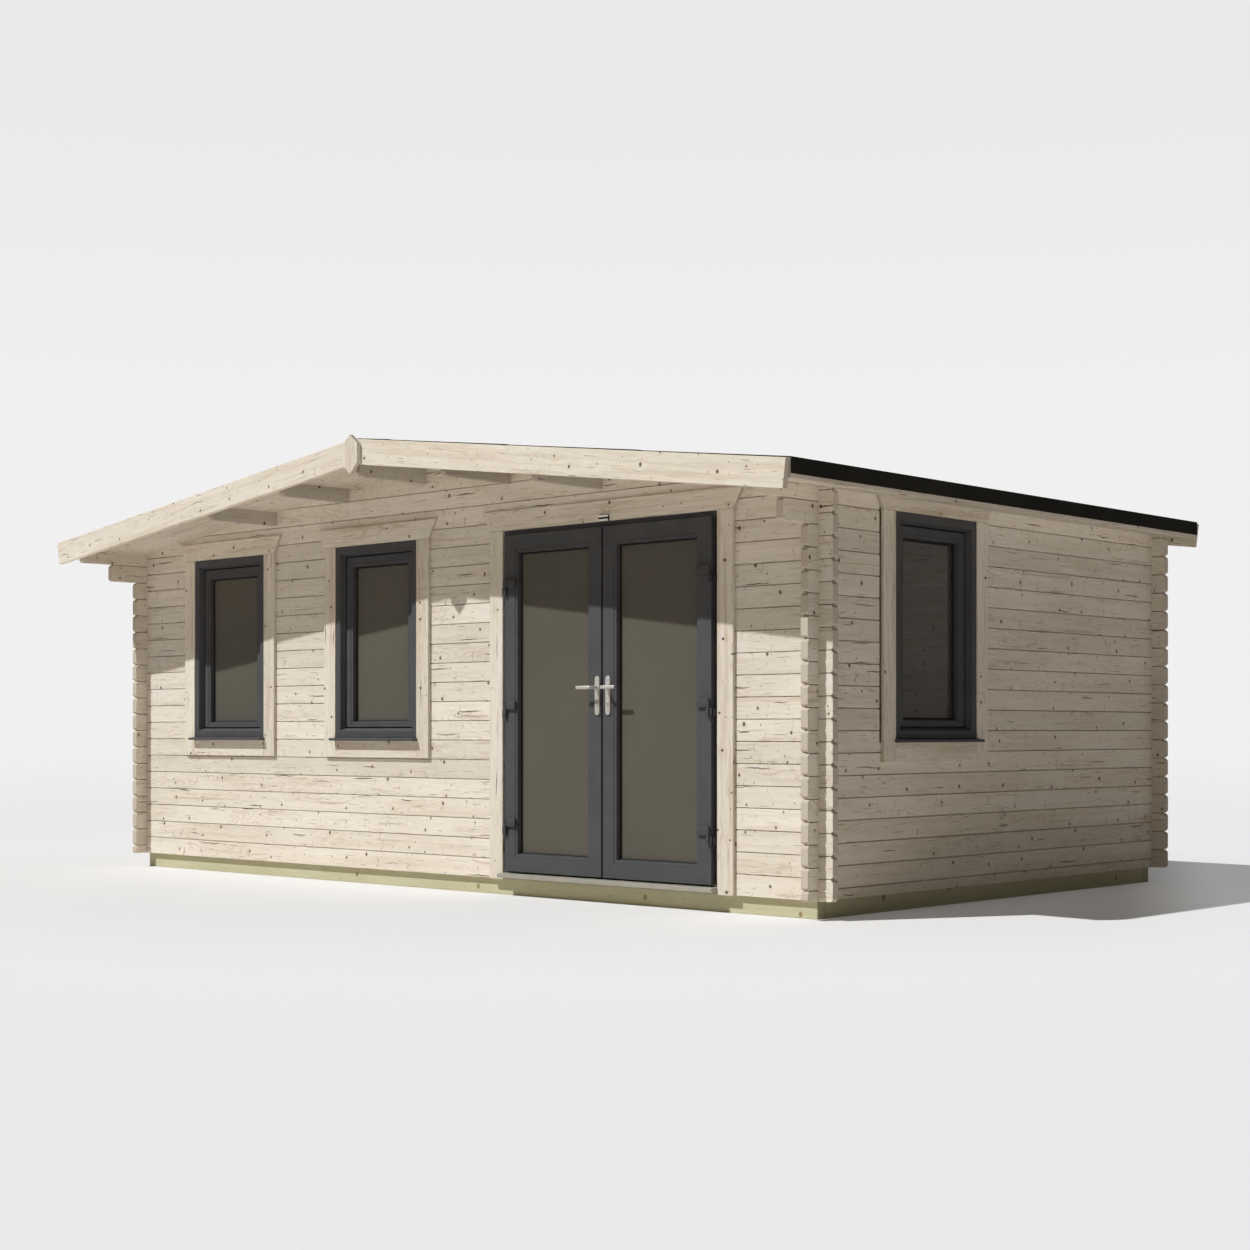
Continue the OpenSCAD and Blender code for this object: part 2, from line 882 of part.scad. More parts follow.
// A round neck and a flat lever that points away from the other leaf
module lever(s) {
    r = lever_h / 2;
    color(STEEL) leaf_side(s) translate([plate_in, plate_y, lever_z]) rotate([90, 0, 0]) {
        translate([0, 0, -neck_in]) cylinder(d = neck_d, h = neck_in + lever_out);
        translate([0, 0, lever_out]) cylinder(r = r, h = lever_t);
        translate([0, -r, lever_out]) cube([lever_len - r, lever_h, lever_t]);
        translate([lever_len - r, 0, lever_out]) cylinder(r = r, h = lever_t);
    }
}

module left_lever() {
    lever(-1);
}

module right_lever() {
    lever(1);
}

front_bearer();
back_bearer();
side_bearers();
floor_joists();
floor_boards();
front_wall_left();
front_wall_right();
front_gable();
back_wall();
left_wall();
right_wall();
ridge_purlin();
inner_purlins();
outer_purlins();
roof_boards_left();
roof_boards_right();
insulation_left();
insulation_right();
roof_felt_left();
roof_felt_right();
eaves_boards();
front_bargeboard_left();
front_bargeboard_right();
back_bargeboard_left();
back_bargeboard_right();
finial();
window_frames();
window_sashes();
window_glass();
window_sills();
window_trims();
door_frame();
door_trim();
threshold();
door_keep();
frame_hinges();
left_leaf();
left_leaf_glass();
left_leaf_hinges();
left_handle_plate();
left_lever();
right_leaf();
right_leaf_glass();
right_leaf_hinges();
right_handle_plate();
right_lever();
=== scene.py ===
import json
import math
import random

import bmesh
import bpy
from bpy.props import FloatProperty, FloatVectorProperty, IntProperty, PointerProperty
from mathutils import Matrix, Vector


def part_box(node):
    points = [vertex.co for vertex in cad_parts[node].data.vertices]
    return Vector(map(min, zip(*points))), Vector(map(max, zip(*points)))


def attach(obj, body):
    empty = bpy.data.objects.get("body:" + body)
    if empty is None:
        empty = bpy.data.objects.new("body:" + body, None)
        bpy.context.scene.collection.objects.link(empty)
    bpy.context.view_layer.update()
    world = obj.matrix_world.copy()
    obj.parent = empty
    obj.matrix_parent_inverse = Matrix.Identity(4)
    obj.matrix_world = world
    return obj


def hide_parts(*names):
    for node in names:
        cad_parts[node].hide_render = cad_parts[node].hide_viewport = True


bl_info = {
    "name": "Log Cabin",
    "version": (1, 0, 0),
    "blender": (4, 5, 0),
    "location": "View3D > Sidebar > Log Cabin",
    "description": "Builds the timber, joinery, hardware and studio of a log cabin around its packed frame",
    "category": "Add Mesh",
}

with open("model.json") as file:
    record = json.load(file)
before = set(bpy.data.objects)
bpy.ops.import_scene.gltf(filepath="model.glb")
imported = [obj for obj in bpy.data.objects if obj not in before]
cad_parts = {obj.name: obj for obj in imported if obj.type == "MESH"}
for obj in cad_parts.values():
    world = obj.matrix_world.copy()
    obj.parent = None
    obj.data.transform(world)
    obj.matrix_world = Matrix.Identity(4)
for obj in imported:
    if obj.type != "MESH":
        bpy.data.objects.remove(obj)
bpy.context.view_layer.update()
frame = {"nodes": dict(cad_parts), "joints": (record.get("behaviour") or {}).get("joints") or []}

X, Y, Z = Vector((1, 0, 0)), Vector((0, 1, 0)), Vector((0, 0, 1))
CABIN = "cabin"
SIDES = (("left", -1), ("right", 1))
# points closer than this are one, or lie at one place
WELD, SAME = 1e-6, 1e-4
# gap between parts that fit together, and between faces that touch
FIT, TOUCH = 0.0005, 0.0002
# face of the boards round an opening, in front of the logs
TRIM_FACE = -0.020
# rounding of sills and threshold, and of small parts
NOSE_EDGE, SMALL_EDGE = 0.003, 0.001
# share of a log's thickness in front of its groove, and a tongue's slack for logs that lie out of line
GROOVE_START, TONGUE_SLACK = 0.27, 2.5
# how far each board's grain is shifted at random, along, across and through it
GRAIN_REACH = (40, 9, 9)
# a face that looks along its board more than this is an end
END_FACE = 0.7


# ---- settings ----


def length(name, default, description):
    """A length in metres."""
    return FloatProperty(name=name, default=default, min=0.0, max=10.0, unit="LENGTH", precision=4,
                         description=description)


def amount(name, default, description, most=100.0):
    """A plain number from nought up."""
    return FloatProperty(name=name, default=default, min=0.0, max=most, description=description)


def angle(name, degrees, description):
    """An angle, given in degrees and kept in radians."""
    return FloatProperty(name=name, default=math.radians(degrees), subtype="ANGLE", description=description)


def colour(name, default, description):
    """A linear colour."""
    return FloatVectorProperty(name=name, default=default, min=0.0, max=1.0, subtype="COLOR",
                               description=description)


class CabinTimber(bpy.types.PropertyGroup):
    """Sizes and colours of the logs, boards and roof"""

    log_rows: IntProperty(name="Log rows", default=18, min=4, max=30,
                          description="Rows of logs between the bearers and the gable")
    joint: length("Joint", 0.0082, "Width of the V joint between two logs")
    tongue: length("Tongue", 0.007, "Height of a log's tongue")
    shrinkage: length("Shrinkage", 0.0019, "Open gap between two logs, on each side of the joint")
    end_chamfer: length("End chamfer", 0.0155, "Chamfer at the top and bottom of each log end")
    log_wander: length("Log wander", 0.0006, "How far a log may lie out of line")
    edge: length("Board edge", 0.0016, "Rounding of a board's edges")
    bearer_edge: length("Bearer edge", 0.003, "Rounding of the edges of bearers and joists")
    plank: length("Roof plank", 0.096, "Width of a roof board")
    floor_plank: length("Floor plank", 0.118, "Width of a floor board")
    plank_vee: length("Roof plank joint", 0.003, "Chamfer along a roof board's seen edges")
    floor_vee: length("Floor plank joint", 0.0015, "Chamfer along a floor board's edges")
    finial_edge: length("Finial edge", 0.0025, "Rounding of the finial's edges")
    purlin_cut: length("Purlin chamfer", 0.022, "Chamfer under each purlin end")
    trim_width: length("Trim width", 0.108, "Width of the boards around doors and windows")
    trim_gap: length("Trim gap", 0.0013, "Gap between two of those boards")
    head_flare: length("Head flare", 0.065, "Spread of each end of a head board, over its full height")
    head_height: length("Head height", 0.114, "Height of a full head board")
    sill_trim: length("Sill board", 0.103, "Height of the board under a window sill")
    bargeboard: length("Bargeboard", 0.145, "Width of a bargeboard")
    felt_sheet: length("Felt sheet", 0.003, "Thickness of one sheet of felt")
    felt_width: length("Felt width", 0.98, "Width of a roll of felt")
    felt_lap: length("Felt lap", 0.08, "Overlap of two sheets of felt")
    pale: colour("Pale wood", (0.762, 0.717, 0.640), "Colour of freshly planed wood")
    warm: colour("Warm wood", (0.56, 0.465, 0.350), "Colour of the late growth rings")
    brown: colour("Brown wood", (0.185, 0.128, 0.085), "Colour of cracks and knots")
    treated: colour("Treated wood", (0.535, 0.53, 0.365), "Colour of the treated bearers")
    stain: colour("Treated knots", (0.72, 0.50, 0.26), "Colour of the knots in treated wood")
    felt: colour("Felt", (0.019, 0.018, 0.016), "Colour of the roof felt")
    foam: colour("Foam", (0.80, 0.74, 0.50), "Colour of the roof insulation")


class CabinJoinery(bpy.types.PropertyGroup):
    """Sizes and colours of the windows, doors and metalwork"""

    frame_hidden: length("Hidden frame", 0.020, "Width of window frame behind the boards")
    frame_face: length("Frame face", 0.058, "Seen width of a window frame")
    frame_flat: length("Frame flat", 0.045, "Flat part of a window frame's face, before it slopes in")
    sash_lap: length("Sash lap", 0.012, "Width of sash behind the frame's edge")
    groove: length("Groove", 0.008, "Width of the groove between a window frame and its sash")
    groove_depth: length("Groove depth", 0.014, "Depth of that groove behind the sash face")
    sash_face: length("Sash face", 0.048, "Width of a window sash in front of its bead")
    leaf_face: length("Leaf face", 0.082, "Width of a door's stiles and rails in front of their bead")
    leaf_gap: length("Leaf gap", 0.006, "Gap between a door leaf and its frame")
    door_stop: length("Door stop", 0.024, "Width of the stop that a leaf closes against")
    slimmer: length("Slimmer bar", 0.026, "How much narrower a sash's bottom bar is than its other bars")
    bead: length("Bead", 0.030, "Width of the glazing bead with its seal")
    bead_step: length("Bead step", 0.003, "Step from a sash or leaf down to its bead")
    glass_depth: length("Glass depth", 0.033, "Distance of the glass behind the face of its sash or leaf")
    seal: length("Seal", 0.008, "Seen width of the rubber seal beside the glass")
    sill_fall: length("Sill fall", 0.004, "How much lower the front of a window sill is")
    nosing: length("Nosing", 0.028, "Height of the threshold's nosing")
    pane: length("Pane", 0.004, "Thickness of one pane")
    unit: length("Glass unit", 0.024, "Thickness of two panes with their spacer")
    spacer: length("Spacer", 0.013, "Width of the spacer bar between two panes")
    mitre_gap: length("Mitre", 0.0004, "Gap at the mitred corners")
    edge: length("Profile edge", 0.0025, "Rounding of the frame profiles")
    grey: colour("Frame grey", (0.0735, 0.0765, 0.0820), "Colour of the frames, sashes and leaves")
    # also the colour of the painted shade in the keyhole, the keep's slot and the door's gap
    rubber: colour("Rubber", (0.008, 0.008, 0.008), "Colour of the seals")
    glass: colour("Glass", (0.120, 0.112, 0.092), "Tint of the glass")
    clear_glass: colour("Clear glass", (0.180, 0.180, 0.180), "Tint of the glass in the side wall")
    threshold: colour("Threshold", (0.36, 0.35, 0.293), "Colour of the threshold")
    metal: colour("Satin metal", (0.72, 0.70, 0.66), "Colour of the handles")
    white_metal: colour("White metal", (0.94, 0.94, 0.93), "Colour of the keep over the doors")
    dark_metal: colour("Dark metal", (0.070, 0.072, 0.076), "Colour of the hinges")


class CabinStudio(bpy.types.PropertyGroup):
    """Floor, light and camera"""

    floor: colour("Floor", (0.92, 0.92, 0.92), "Colour of the floor")
    # painted shade: the floor beside the building is darker, against the light that the walls send onto it
    near_floor_painted_shade: colour("Near floor", (0.795, 0.795, 0.795), "Colour of the floor beside the building")
    bounce: colour("Floor bounce", (1.0, 0.92, 0.835), "Colour of the light that the floor sends back")
    far_floor: colour("Far floor", (0.84, 0.84, 0.84), "Colour that the floor fades to")
    backdrop: colour("Backdrop", (0.875, 0.875, 0.875), "Colour behind the building")
    backdrop_top: colour("Backdrop top", (0.815, 0.815, 0.815), "Colour above the building")
    sky_colour: colour("Sky colour", (1.0, 0.94, 0.88), "Colour of the soft light from all round")
    floor_gloss: amount("Floor gloss", 0.22, "Brightness of the floor that gloss reflects")
    mirrored: amount("Mirrored", 0.13, "Brightness that gloss reflects")
    # painted light: how much of the floor's glow is mixed into the shadow beside and behind the building
    near_painted_light: amount("Near shadow lift", 0.11, "How much lighter the shadow is beside the building", 1.0)
    lift: amount("Shadow lift", 0.34, "How much lighter the shadow is behind the building", 1.0)
    sky: amount("Sky", 0.055, "Strength of the soft light from all round")
    sun: amount("Sun", 3.4, "Strength of the key light")
    sun_path: FloatVectorProperty(name="Sun path", default=(0.542, 1.0, -1.390), subtype="DIRECTION",
                                  description="Direction that the key light travels in")
    sun_angle: angle("Sun size", 0.8, "Size of the key light in the sky")
    camera_place: FloatVectorProperty(name="Camera place", default=(9.013, -9.672, 0.946), unit="LENGTH",
                                      subtype="TRANSLATION", description="Where the camera stands")
    camera_turn: angle("Camera turn", 42.859, "Turn of the camera about the vertical")
    lens: amount("Lens", 57.46, "Focal length in millimetres")
    rise: amount("Rise", 0.0845, "Upward shift of the lens")


# ---- reading the frame ----


def extent(points):
    """Lowest and highest corner of some points."""
    points = list(points)
    return tuple(Vector([pick(p[i] for p in points) for i in range(3)]) for pick in (min, max))


def solids(node):
    """The corners of each separate solid of a CAD node, from left to right."""
    mesh = bmesh.new()
    mesh.from_mesh(frame["nodes"][node].data)
    bmesh.ops.remove_doubles(mesh, verts=mesh.verts, dist=WELD)
    left, boxes = set(mesh.verts), []
    while left:
        queue, group = [left.pop()], []
        while queue:
            vert = queue.pop()
            group.append(vert.co.copy())
            near = {e.other_vert(vert) for e in vert.link_edges} & left
            left -= near
            queue.extend(near)
        boxes.append(extent(group))
    mesh.free()
    return sorted(boxes, key=lambda box: tuple(box[0]))


def points_where(node, axis, place, reach):
    """The points of a CAD node near one place on an axis."""
    return [v.co for v in frame["nodes"][node].data.vertices if abs(v.co[axis] - place) < reach]


class Roof:
    """The slope of the roof, measured on its boards."""

    def __init__(self):
        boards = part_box("roof_boards_right")
        self.front, self.back = boards[0].y, boards[1].y
        self.eave = boards[1].x
        self.soffit_ridge, self.top_ridge = self.heights(0.0)
        self.soffit_eave = self.heights(self.eave)[0]
        self.slope = (self.soffit_ridge - self.soffit_eave) / self.eave
        self.pitch = math.atan(self.slope)

    def heights(self, x):
        """Underside and top of the boards at a distance from the ridge where they have corners."""
        found = [co.z for co in points_where("roof_boards_right", 0, x, SAME)]
        return min(found), max(found)

    def soffit(self, x):
        """Underside of the boards at any distance from the ridge."""
        return self.soffit_ridge - abs(x) * self.slope

    def down(self, side):
        """Down the slope, away from the ridge."""
        return Vector((side * math.cos(self.pitch), 0, -math.sin(self.pitch)))

    def out(self, side):
        """Square to the slope, upwards."""
        return Vector((side * math.sin(self.pitch), 0, math.cos(self.pitch)))


def window_places():
    """A local frame for each window: x to the right, y inwards from the log face, z up from the sill.
    The window in the side wall comes last."""
    sill_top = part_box("window_sills")[1].z
    wall_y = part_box("front_gable")[0].y
    wall_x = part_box("right_wall")[1].x
    left, middle, side = solids("window_frames")
    places = [Matrix.Translation(((b[0].x + b[1].x) / 2, wall_y, sill_top)) for b in (left, middle)]
    turned = Matrix.Translation((wall_x, (side[0].y + side[1].y) / 2, sill_top))
    return places + [turned @ Matrix.Rotation(math.radians(90), 4, "Z")]


def in_place(box, place):
    """A box of the building, seen in a local frame."""
    turned = place.inverted()
    return extent([turned @ box[0], turned @ box[1]])


# ---- meshes ----


def facing(origin, along, across):
    """The frame of a board that starts at origin, runs along one direction and is wide in another."""
    matrix = Matrix((along, across, along.cross(across))).transposed().to_4x4()
    matrix.translation = origin
    return matrix


def loft(rings):
    """A closed skin through rings of points, with a face over each end."""
    mesh = bmesh.new()
    rings = [[mesh.verts.new(point) for point in ring] for ring in rings]
    mesh.faces.new(rings[0][::-1])
    mesh.faces.new(rings[-1])
    for a, b in zip(rings, rings[1:]):
        for k in range(len(a)):
            n = (k + 1) % len(a)
            mesh.faces.new((a[k], a[n], b[n], b[k]))
    bmesh.ops.recalc_face_normals(mesh, faces=mesh.faces)
    return mesh


def extrude(outline, thickness):
    """A closed slab: an outline in x and y, thickened towards +Z."""
    return loft([[(x, y, z) for x, y in outline] for z in (0, thickness)])


def upright(outline, front, back):
    """A closed slab: an outline in x and z, from one depth to another."""
    mesh = extrude(outline, back - front)
    mesh.transform(Matrix.Translation((0, back, 0)) @ Matrix.Rotation(math.radians(90), 4, "X"))
    mesh.normal_update()
    return mesh


def slab(left, right, near, far):
    """The outline of a rectangle."""
    return [(left, near), (right, near), (right, far), (left, far)]


def block(low, high):
    """A plain box between two corners."""
    mesh = extrude(slab(low[0], high[0], low[1], high[1]), high[2] - low[2])
    mesh.transform(Matrix.Translation((0, 0, low[2])))
    return mesh


def round_edges(mesh, radius, segments=2, sharpest=20):
    """Rounds every edge of a mesh that is sharper than some degrees."""
    limit = math.radians(sharpest)
    edges = [e for e in mesh.edges if len(e.link_faces) == 2 and e.calc_face_angle() > limit]
    bmesh.ops.bevel(mesh, geom=edges, offset=radius, offset_type="OFFSET", segments=segments,
                    profile=0.5, affect="EDGES", clamp_overlap=True)


def cut_off(mesh, point, outward):
    """Cuts away what lies outside a plane, and closes the cut."""
    geometry = [*mesh.verts, *mesh.edges, *mesh.faces]
    cut = bmesh.ops.bisect_plane(mesh, geom=geometry, plane_co=point, plane_no=outward, clear_outer=True)
    edges = [g for g in cut["geom_cut"] if isinstance(g, bmesh.types.BMEdge)]
    if edges:
        bmesh.ops.holes_fill(mesh, edges=edges, sides=0)


def show(name, mesh, finish, body, *replaced, slot=None):
    """Puts a finished mesh in the scene as a piece that rides on a body and stands for CAD nodes."""
    piece = bpy.data.objects.new(name, mesh)
    bpy.context.scene.collection.objects.link(piece)
    if not mesh.materials:
        mesh.materials.append(finish_of(finish))
    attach(piece, body)
    slot or FINISHES[finish][0]
    if replaced:
        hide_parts(*replaced)


def loose_object(name, mesh):
    """A mesh as an object that isn't a piece: a helper, or the floor."""
    data = bpy.data.meshes.new(name)
    if mesh is not None:
        mesh.to_mesh(data)
        mesh.free()
    helper = bpy.data.objects.new(name, data)
    bpy.context.scene.collection.objects.link(helper)
    return helper


def remove(*helpers):
    """Deletes helper objects with their meshes."""
    for helper in filter(None, helpers):
        data = helper.data
        bpy.data.objects.remove(helper)
        bpy.data.meshes.remove(data)


class Shell:
    """Smooth parts of one material, gathered in one mesh."""

    def __init__(self, *parts):
        self.mesh = bmesh.new()
        for part in parts:
            self.add(part)

    def add(self, part, place=Matrix()):
        """Moves a mesh into this one."""
        part.transform(place)
        data = bpy.data.meshes.new("part")
        part.to_mesh(data)
        part.free()
        self.mesh.from_mesh(data)
        bpy.data.meshes.remove(data)

    def block(self, low, high, radius, place=Matrix(), segments=2):
        """A box with rounded edges."""
        part = block(low, high)
        if radius:
            round_edges(part, radius, segments)
        self.add(part, place)

    def barrel(self, start, end, radius, edge=SMALL_EDGE, sides=32):
        """A round bar between two points, with rounded rims."""
        start, end = Vector(start), Vector(end)
        part = bmesh.new()
        bmesh.ops.create_cone(part, cap_ends=True, segments=sides, radius1=radius, radius2=radius,
                              depth=(end - start).length)
        round_edges(part, edge, sharpest=60)
        turn = Z.rotation_difference(end - start).to_matrix().to_4x4()
        self.add(part, Matrix.Translation((start + end) / 2) @ turn)

    def finish(self, name, finish, body, *replaced, slot=None, smooth=None):
        """Shows the gathered parts as one piece. smooth is the angle up to which edges look smooth."""
        data = bpy.data.meshes.new(name)
        bmesh.ops.recalc_face_normals(self.mesh, faces=self.mesh.faces)
        self.mesh.to_mesh(data)
        self.mesh.free()
        if smooth:
            data.shade_smooth()
            data.set_sharp_from_angle(angle=math.radians(smooth))
        show(name, data, finish, body, *replaced, slot=slot)


class Timber(Shell):
    """Boards in one mesh. Each face corner holds its place in its own board, which the grain follows."""

    def __init__(self, seed):
        super().__init__()
        self.random = random.Random(seed)

    def board(self, outline, thickness, place, radius=None):
        """A board with an outline in (along, across) and a thickness towards +Z of its own frame."""
        part = extrude(outline, thickness)
        round_edges(part, radius or bpy.context.scene.cabin_timber.edge)
        grain = part.loops.layers.float_vector.new("grain")
        tint = part.faces.layers.float.new("tint")
        end = part.faces.layers.float.new("end")
        shift = Vector([self.random.uniform(0, reach) for reach in GRAIN_REACH])
        shade = self.random.random()
        for face in part.faces:
            face[tint] = shade
            face[end] = float(abs(face.normal.x) > END_FACE)
            for loop in face.loops:
                loop[grain] = loop.vert.co + shift
        self.add(part, place)

    def box(self, low, high, axis, place=Matrix(), radius=None):
        """A straight board whose grain runs along one axis: 0, 1 or 2."""
        low, high = Vector(low), Vector(high)
        size = high - low
        wide, thin = sorted((i for i in range(3) if i != axis), key=lambda i: -size[i])
        along, across = Vector(), Vector()
        along[axis], across[wide] = 1, 1
        origin = low.copy()
        if along.cross(across)[thin] < 0:
            origin[thin] = high[thin]
        outline = slab(0, size[axis], 0, size[wide])
        self.board(outline, size[thin], place @ facing(origin, along, across), radius)


# ---- nodes ----


def fill(node, **inputs):
    """Links or sets a node's inputs by name, with _ for a space, and returns the node."""
    for name, value in inputs.items():
        socket = next(s for s in node.inputs if s.name == name.replace("_", " ") and s.enabled)
        if isinstance(value, bpy.types.NodeSocket):
            node.id_data.links.new(value, socket)
        else:
            socket.default_value = value
    return node


def node_in(tree, kind, *values, **settings):
    """Adds a node, sets its options, and fills its inputs in order. None leaves an input alone."""
    node = tree.nodes.new(kind)
    for option, value in settings.items():
        setattr(node, option, value)
    sockets = [s for s in node.inputs if s.enabled]
    for socket, value in zip(sockets, values):
        if isinstance(value, bpy.types.NodeSocket):
            tree.links.new(value, socket)
        elif value is not None:
            socket.default_value = value
    return node


class Pattern:
    """Short names for the nodes that a pattern is made of."""

    def __init__(self, tree):
        self.tree = tree

    def node(self, kind, *values, **settings):
        return node_in(self.tree, kind, *values, **settings)

    def add(self, kind, *values, **settings):
        """The first output that is in use of a new node."""
        return next(s for s in self.node(kind, *values, **settings).outputs if s.enabled)

    def maths(self, operation, *values):
        return self.add("ShaderNodeMath", *values, operation=operation)

    def times(self, a, b):
        return self.maths("MULTIPLY", a, b)

    def plus(self, a, b):
        return self.maths("ADD", a, b)

    def minus(self, a, b):
        return self.maths("SUBTRACT", a, b)

    def vector(self, operation, *values):
        return self.add("ShaderNodeVectorMath", *values, operation=operation)

    def dot(self, a, b):
        return self.node("ShaderNodeVectorMath", a, b, operation="DOT_PRODUCT").outputs["Value"]

    def size(self, vector):
        return self.node("ShaderNodeVectorMath", vector, operation="LENGTH").outputs["Value"]

    def times_all(self, vector, share):
        return fill(self.node("ShaderNodeVectorMath", vector, operation="SCALE"), Scale=share).outputs[0]

    def scaled(self, vector, x, y, z):
        return self.vector("MULTIPLY", vector, (x, y, z))

    def combine(self, *parts):
        return self.add("ShaderNodeCombineXYZ", *parts)

    def parts(self, vector):
        return self.node("ShaderNodeSeparateXYZ", vector).outputs

    def attribute(self, name, output):
        return self.node("ShaderNodeAttribute", attribute_name=name).outputs[output]

    def spot(self):
        """The place of a point on its object."""
        return self.node("ShaderNodeTexCoord").outputs["Object"]

    def noise(self, vector, scale=1.0, detail=3.0, rough=0.55, warp=0.0):
        node = fill(self.node("ShaderNodeTexNoise"), Vector=vector, Scale=scale, Detail=detail,
                    Roughness=rough, Distortion=warp)
        return node.outputs[0]

    def step(self, value, low, high, start=0.0, end=1.0):
        """Runs smoothly from start to end as the value passes from low to high."""
        return self.node("ShaderNodeMapRange", value, low, high, start, end,
                         interpolation_type="SMOOTHSTEP").outputs[0]

    def mix(self, share, a, b, blend="MIX"):
        """Mixes two colours."""
        node = self.node("ShaderNodeMix", data_type="RGBA", blend_type=blend)
        a, b = (c if isinstance(c, bpy.types.NodeSocket) else (*c, 1.0) for c in (a, b))
        return fill(node, Factor=share, A=a, B=b).outputs[2]

    def bump(self, height, strength, distance):
        node = fill(self.node("ShaderNodeBump"), Strength=strength, Distance=distance, Height=height)
        return node.outputs[0]


# ---- runs of like timbers, by Geometry Nodes ----

RUN_INPUTS = {
    "Blank": "Object", "Count": "Int", "Step": "Vector", "First": "Vector", "Along": "Vector",
    "Across": "Vector", "Wander": "Float", "Seed": "Int", "Odd Pieces": "Object", "Openings": "Object",
    "Timber": "Material",
}


def run_tree(cut):
    """Lays copies of a blank side by side, cuts the openings out, and marks each copy's grain."""
    name = "Timber run, cut" if cut else "Timber run"
    if name in bpy.data.node_groups:
        return bpy.data.node_groups[name]
    tree = bpy.data.node_groups.new(name, "GeometryNodeTree")
    tree.interface.new_socket("Geometry", in_out="OUTPUT", socket_type="NodeSocketGeometry")
    for label, kind in RUN_INPUTS.items():
        tree.interface.new_socket(label, in_out="INPUT", socket_type="NodeSocket" + kind)
    given = tree.nodes.new("NodeGroupInput").outputs
    p = Pattern(tree)

    def shape(label):
        return p.node("GeometryNodeObjectInfo", given[label]).outputs["Geometry"]

    line = fill(p.node("GeometryNodeMeshLine", mode="OFFSET"), Count=given["Count"], Offset=given["Step"])
    copies = fill(p.node("GeometryNodeInstanceOnPoints"), Points=line.outputs[0], Instance=shape("Blank"))
    stray = p.add("FunctionNodeRandomValue", (-1, -1, 0), (1, 1, 0), None, given["Seed"],
                  data_type="FLOAT_VECTOR")
    stray = p.times_all(stray, given["Wander"])
    moved = p.add("GeometryNodeTranslateInstances", copies.outputs[0], None, stray)
    joined = p.node("GeometryNodeJoinGeometry")
    for part in (p.add("GeometryNodeRealizeInstances", moved), shape("Odd Pieces")):
        tree.links.new(part, joined.inputs[0])
    result = joined.outputs[0]
    if cut:
        boolean = p.node("GeometryNodeMeshBoolean", operation="DIFFERENCE", solver="EXACT")
        result = fill(boolean, Mesh_1=result, Mesh_2=shape("Openings")).outputs["Mesh"]

    # the number of a face's copy, counted along the run
    spot = p.add("GeometryNodeInputPosition")
    middle = p.add("GeometryNodeFieldOnDomain", spot, data_type="FLOAT_VECTOR", domain="FACE")
    offset = p.vector("SUBTRACT", middle, given["First"])
    steps = p.maths("DIVIDE", p.dot(offset, given["Step"]), p.dot(given["Step"], given["Step"]))
    number = p.maths("FLOOR", steps)
    shift = p.add("FunctionNodeRandomValue", (0, 0, 0), GRAIN_REACH, number, given["Seed"],
                  data_type="FLOAT_VECTOR")
    shade = p.add("FunctionNodeRandomValue", 0.0, 1.0, number, given["Seed"], data_type="FLOAT")
    through = p.vector("CROSS_PRODUCT", given["Along"], given["Across"])
    local = p.combine(*(p.dot(spot, axis) for axis in (given["Along"], given["Across"], through)))
    grain = p.vector("ADD", local, shift)
    slant = p.maths("ABSOLUTE", p.dot(p.add("GeometryNodeInputNormal"), given["Along"]))
    end = p.maths("GREATER_THAN", slant, END_FACE)

    for label, value, kind, domain in (("grain", grain, "FLOAT_VECTOR", "CORNER"),
                                       ("tint", shade, "FLOAT", "FACE"), ("end", end, "FLOAT", "FACE")):
        store = p.node("GeometryNodeStoreNamedAttribute", data_type=kind, domain=domain)
        result = fill(store, Geometry=result, Name=label, Value=value).outputs[0]
    result = p.add("GeometryNodeRealizeInstances", result)
    painted = fill(p.node("GeometryNodeSetMaterial"), Geometry=result, Material=given["Timber"])
    tree.links.new(painted.outputs[0], tree.nodes.new("NodeGroupOutput").inputs[0])
    return tree


def show_run(name, blank, count, step, first, along, across, finish, seed, *replaced, wander=0.0, odd=(),
             openings=()):
    """Shows a run of timbers as a piece: copies of a blank a step apart, and odd timbers as they are."""
    odd, openings = (loose_object(name, Shell(*parts).mesh) if parts else None for parts in (odd, openings))
    blank = loose_object(name, blank)
    base = loose_object(name, None)
    modifier = base.modifiers.new("Timber run", "NODES")
    modifier.node_group = run_tree(openings is not None)
    values = {"Blank": blank, "Count": count, "Step": step, "First": first, "Along": along, "Across": across,
              "Wander": wander, "Seed": seed, "Odd Pieces": odd, "Openings": openings,
              "Timber": finish_of(finish)}
    for item in modifier.node_group.interface.items_tree:
        if values.get(item.name) is not None:
            modifier[item.identifier] = values[item.name]
    bpy.context.view_layer.update()
    ready = base.evaluated_get(bpy.context.evaluated_depsgraph_get())
    mesh = bpy.data.meshes.new_from_object(ready)
    base.modifiers.remove(modifier)
    remove(base, blank, odd, openings)
    if not mesh.polygons:
        raise RuntimeError(f"{name} came out empty")
    mesh.name = name
    show(name, mesh, finish, CABIN, *replaced)


# ---- materials ----

# strokes on a board: cell along and across it, share of the cells that have one, shift of the cells,
# then reach, half width and bend
CRACK = ((0.38, 0.085), 0.24, 7.3, 0.120, 0.0040, 0.020)
HAIR = ((0.17, 0.040), 0.42, 19.1, 0.060, 0.0017, 0.012)
TICK = ((0.095, 0.20), 0.42, 3.9, 0.056, 0.0030, 0.090)
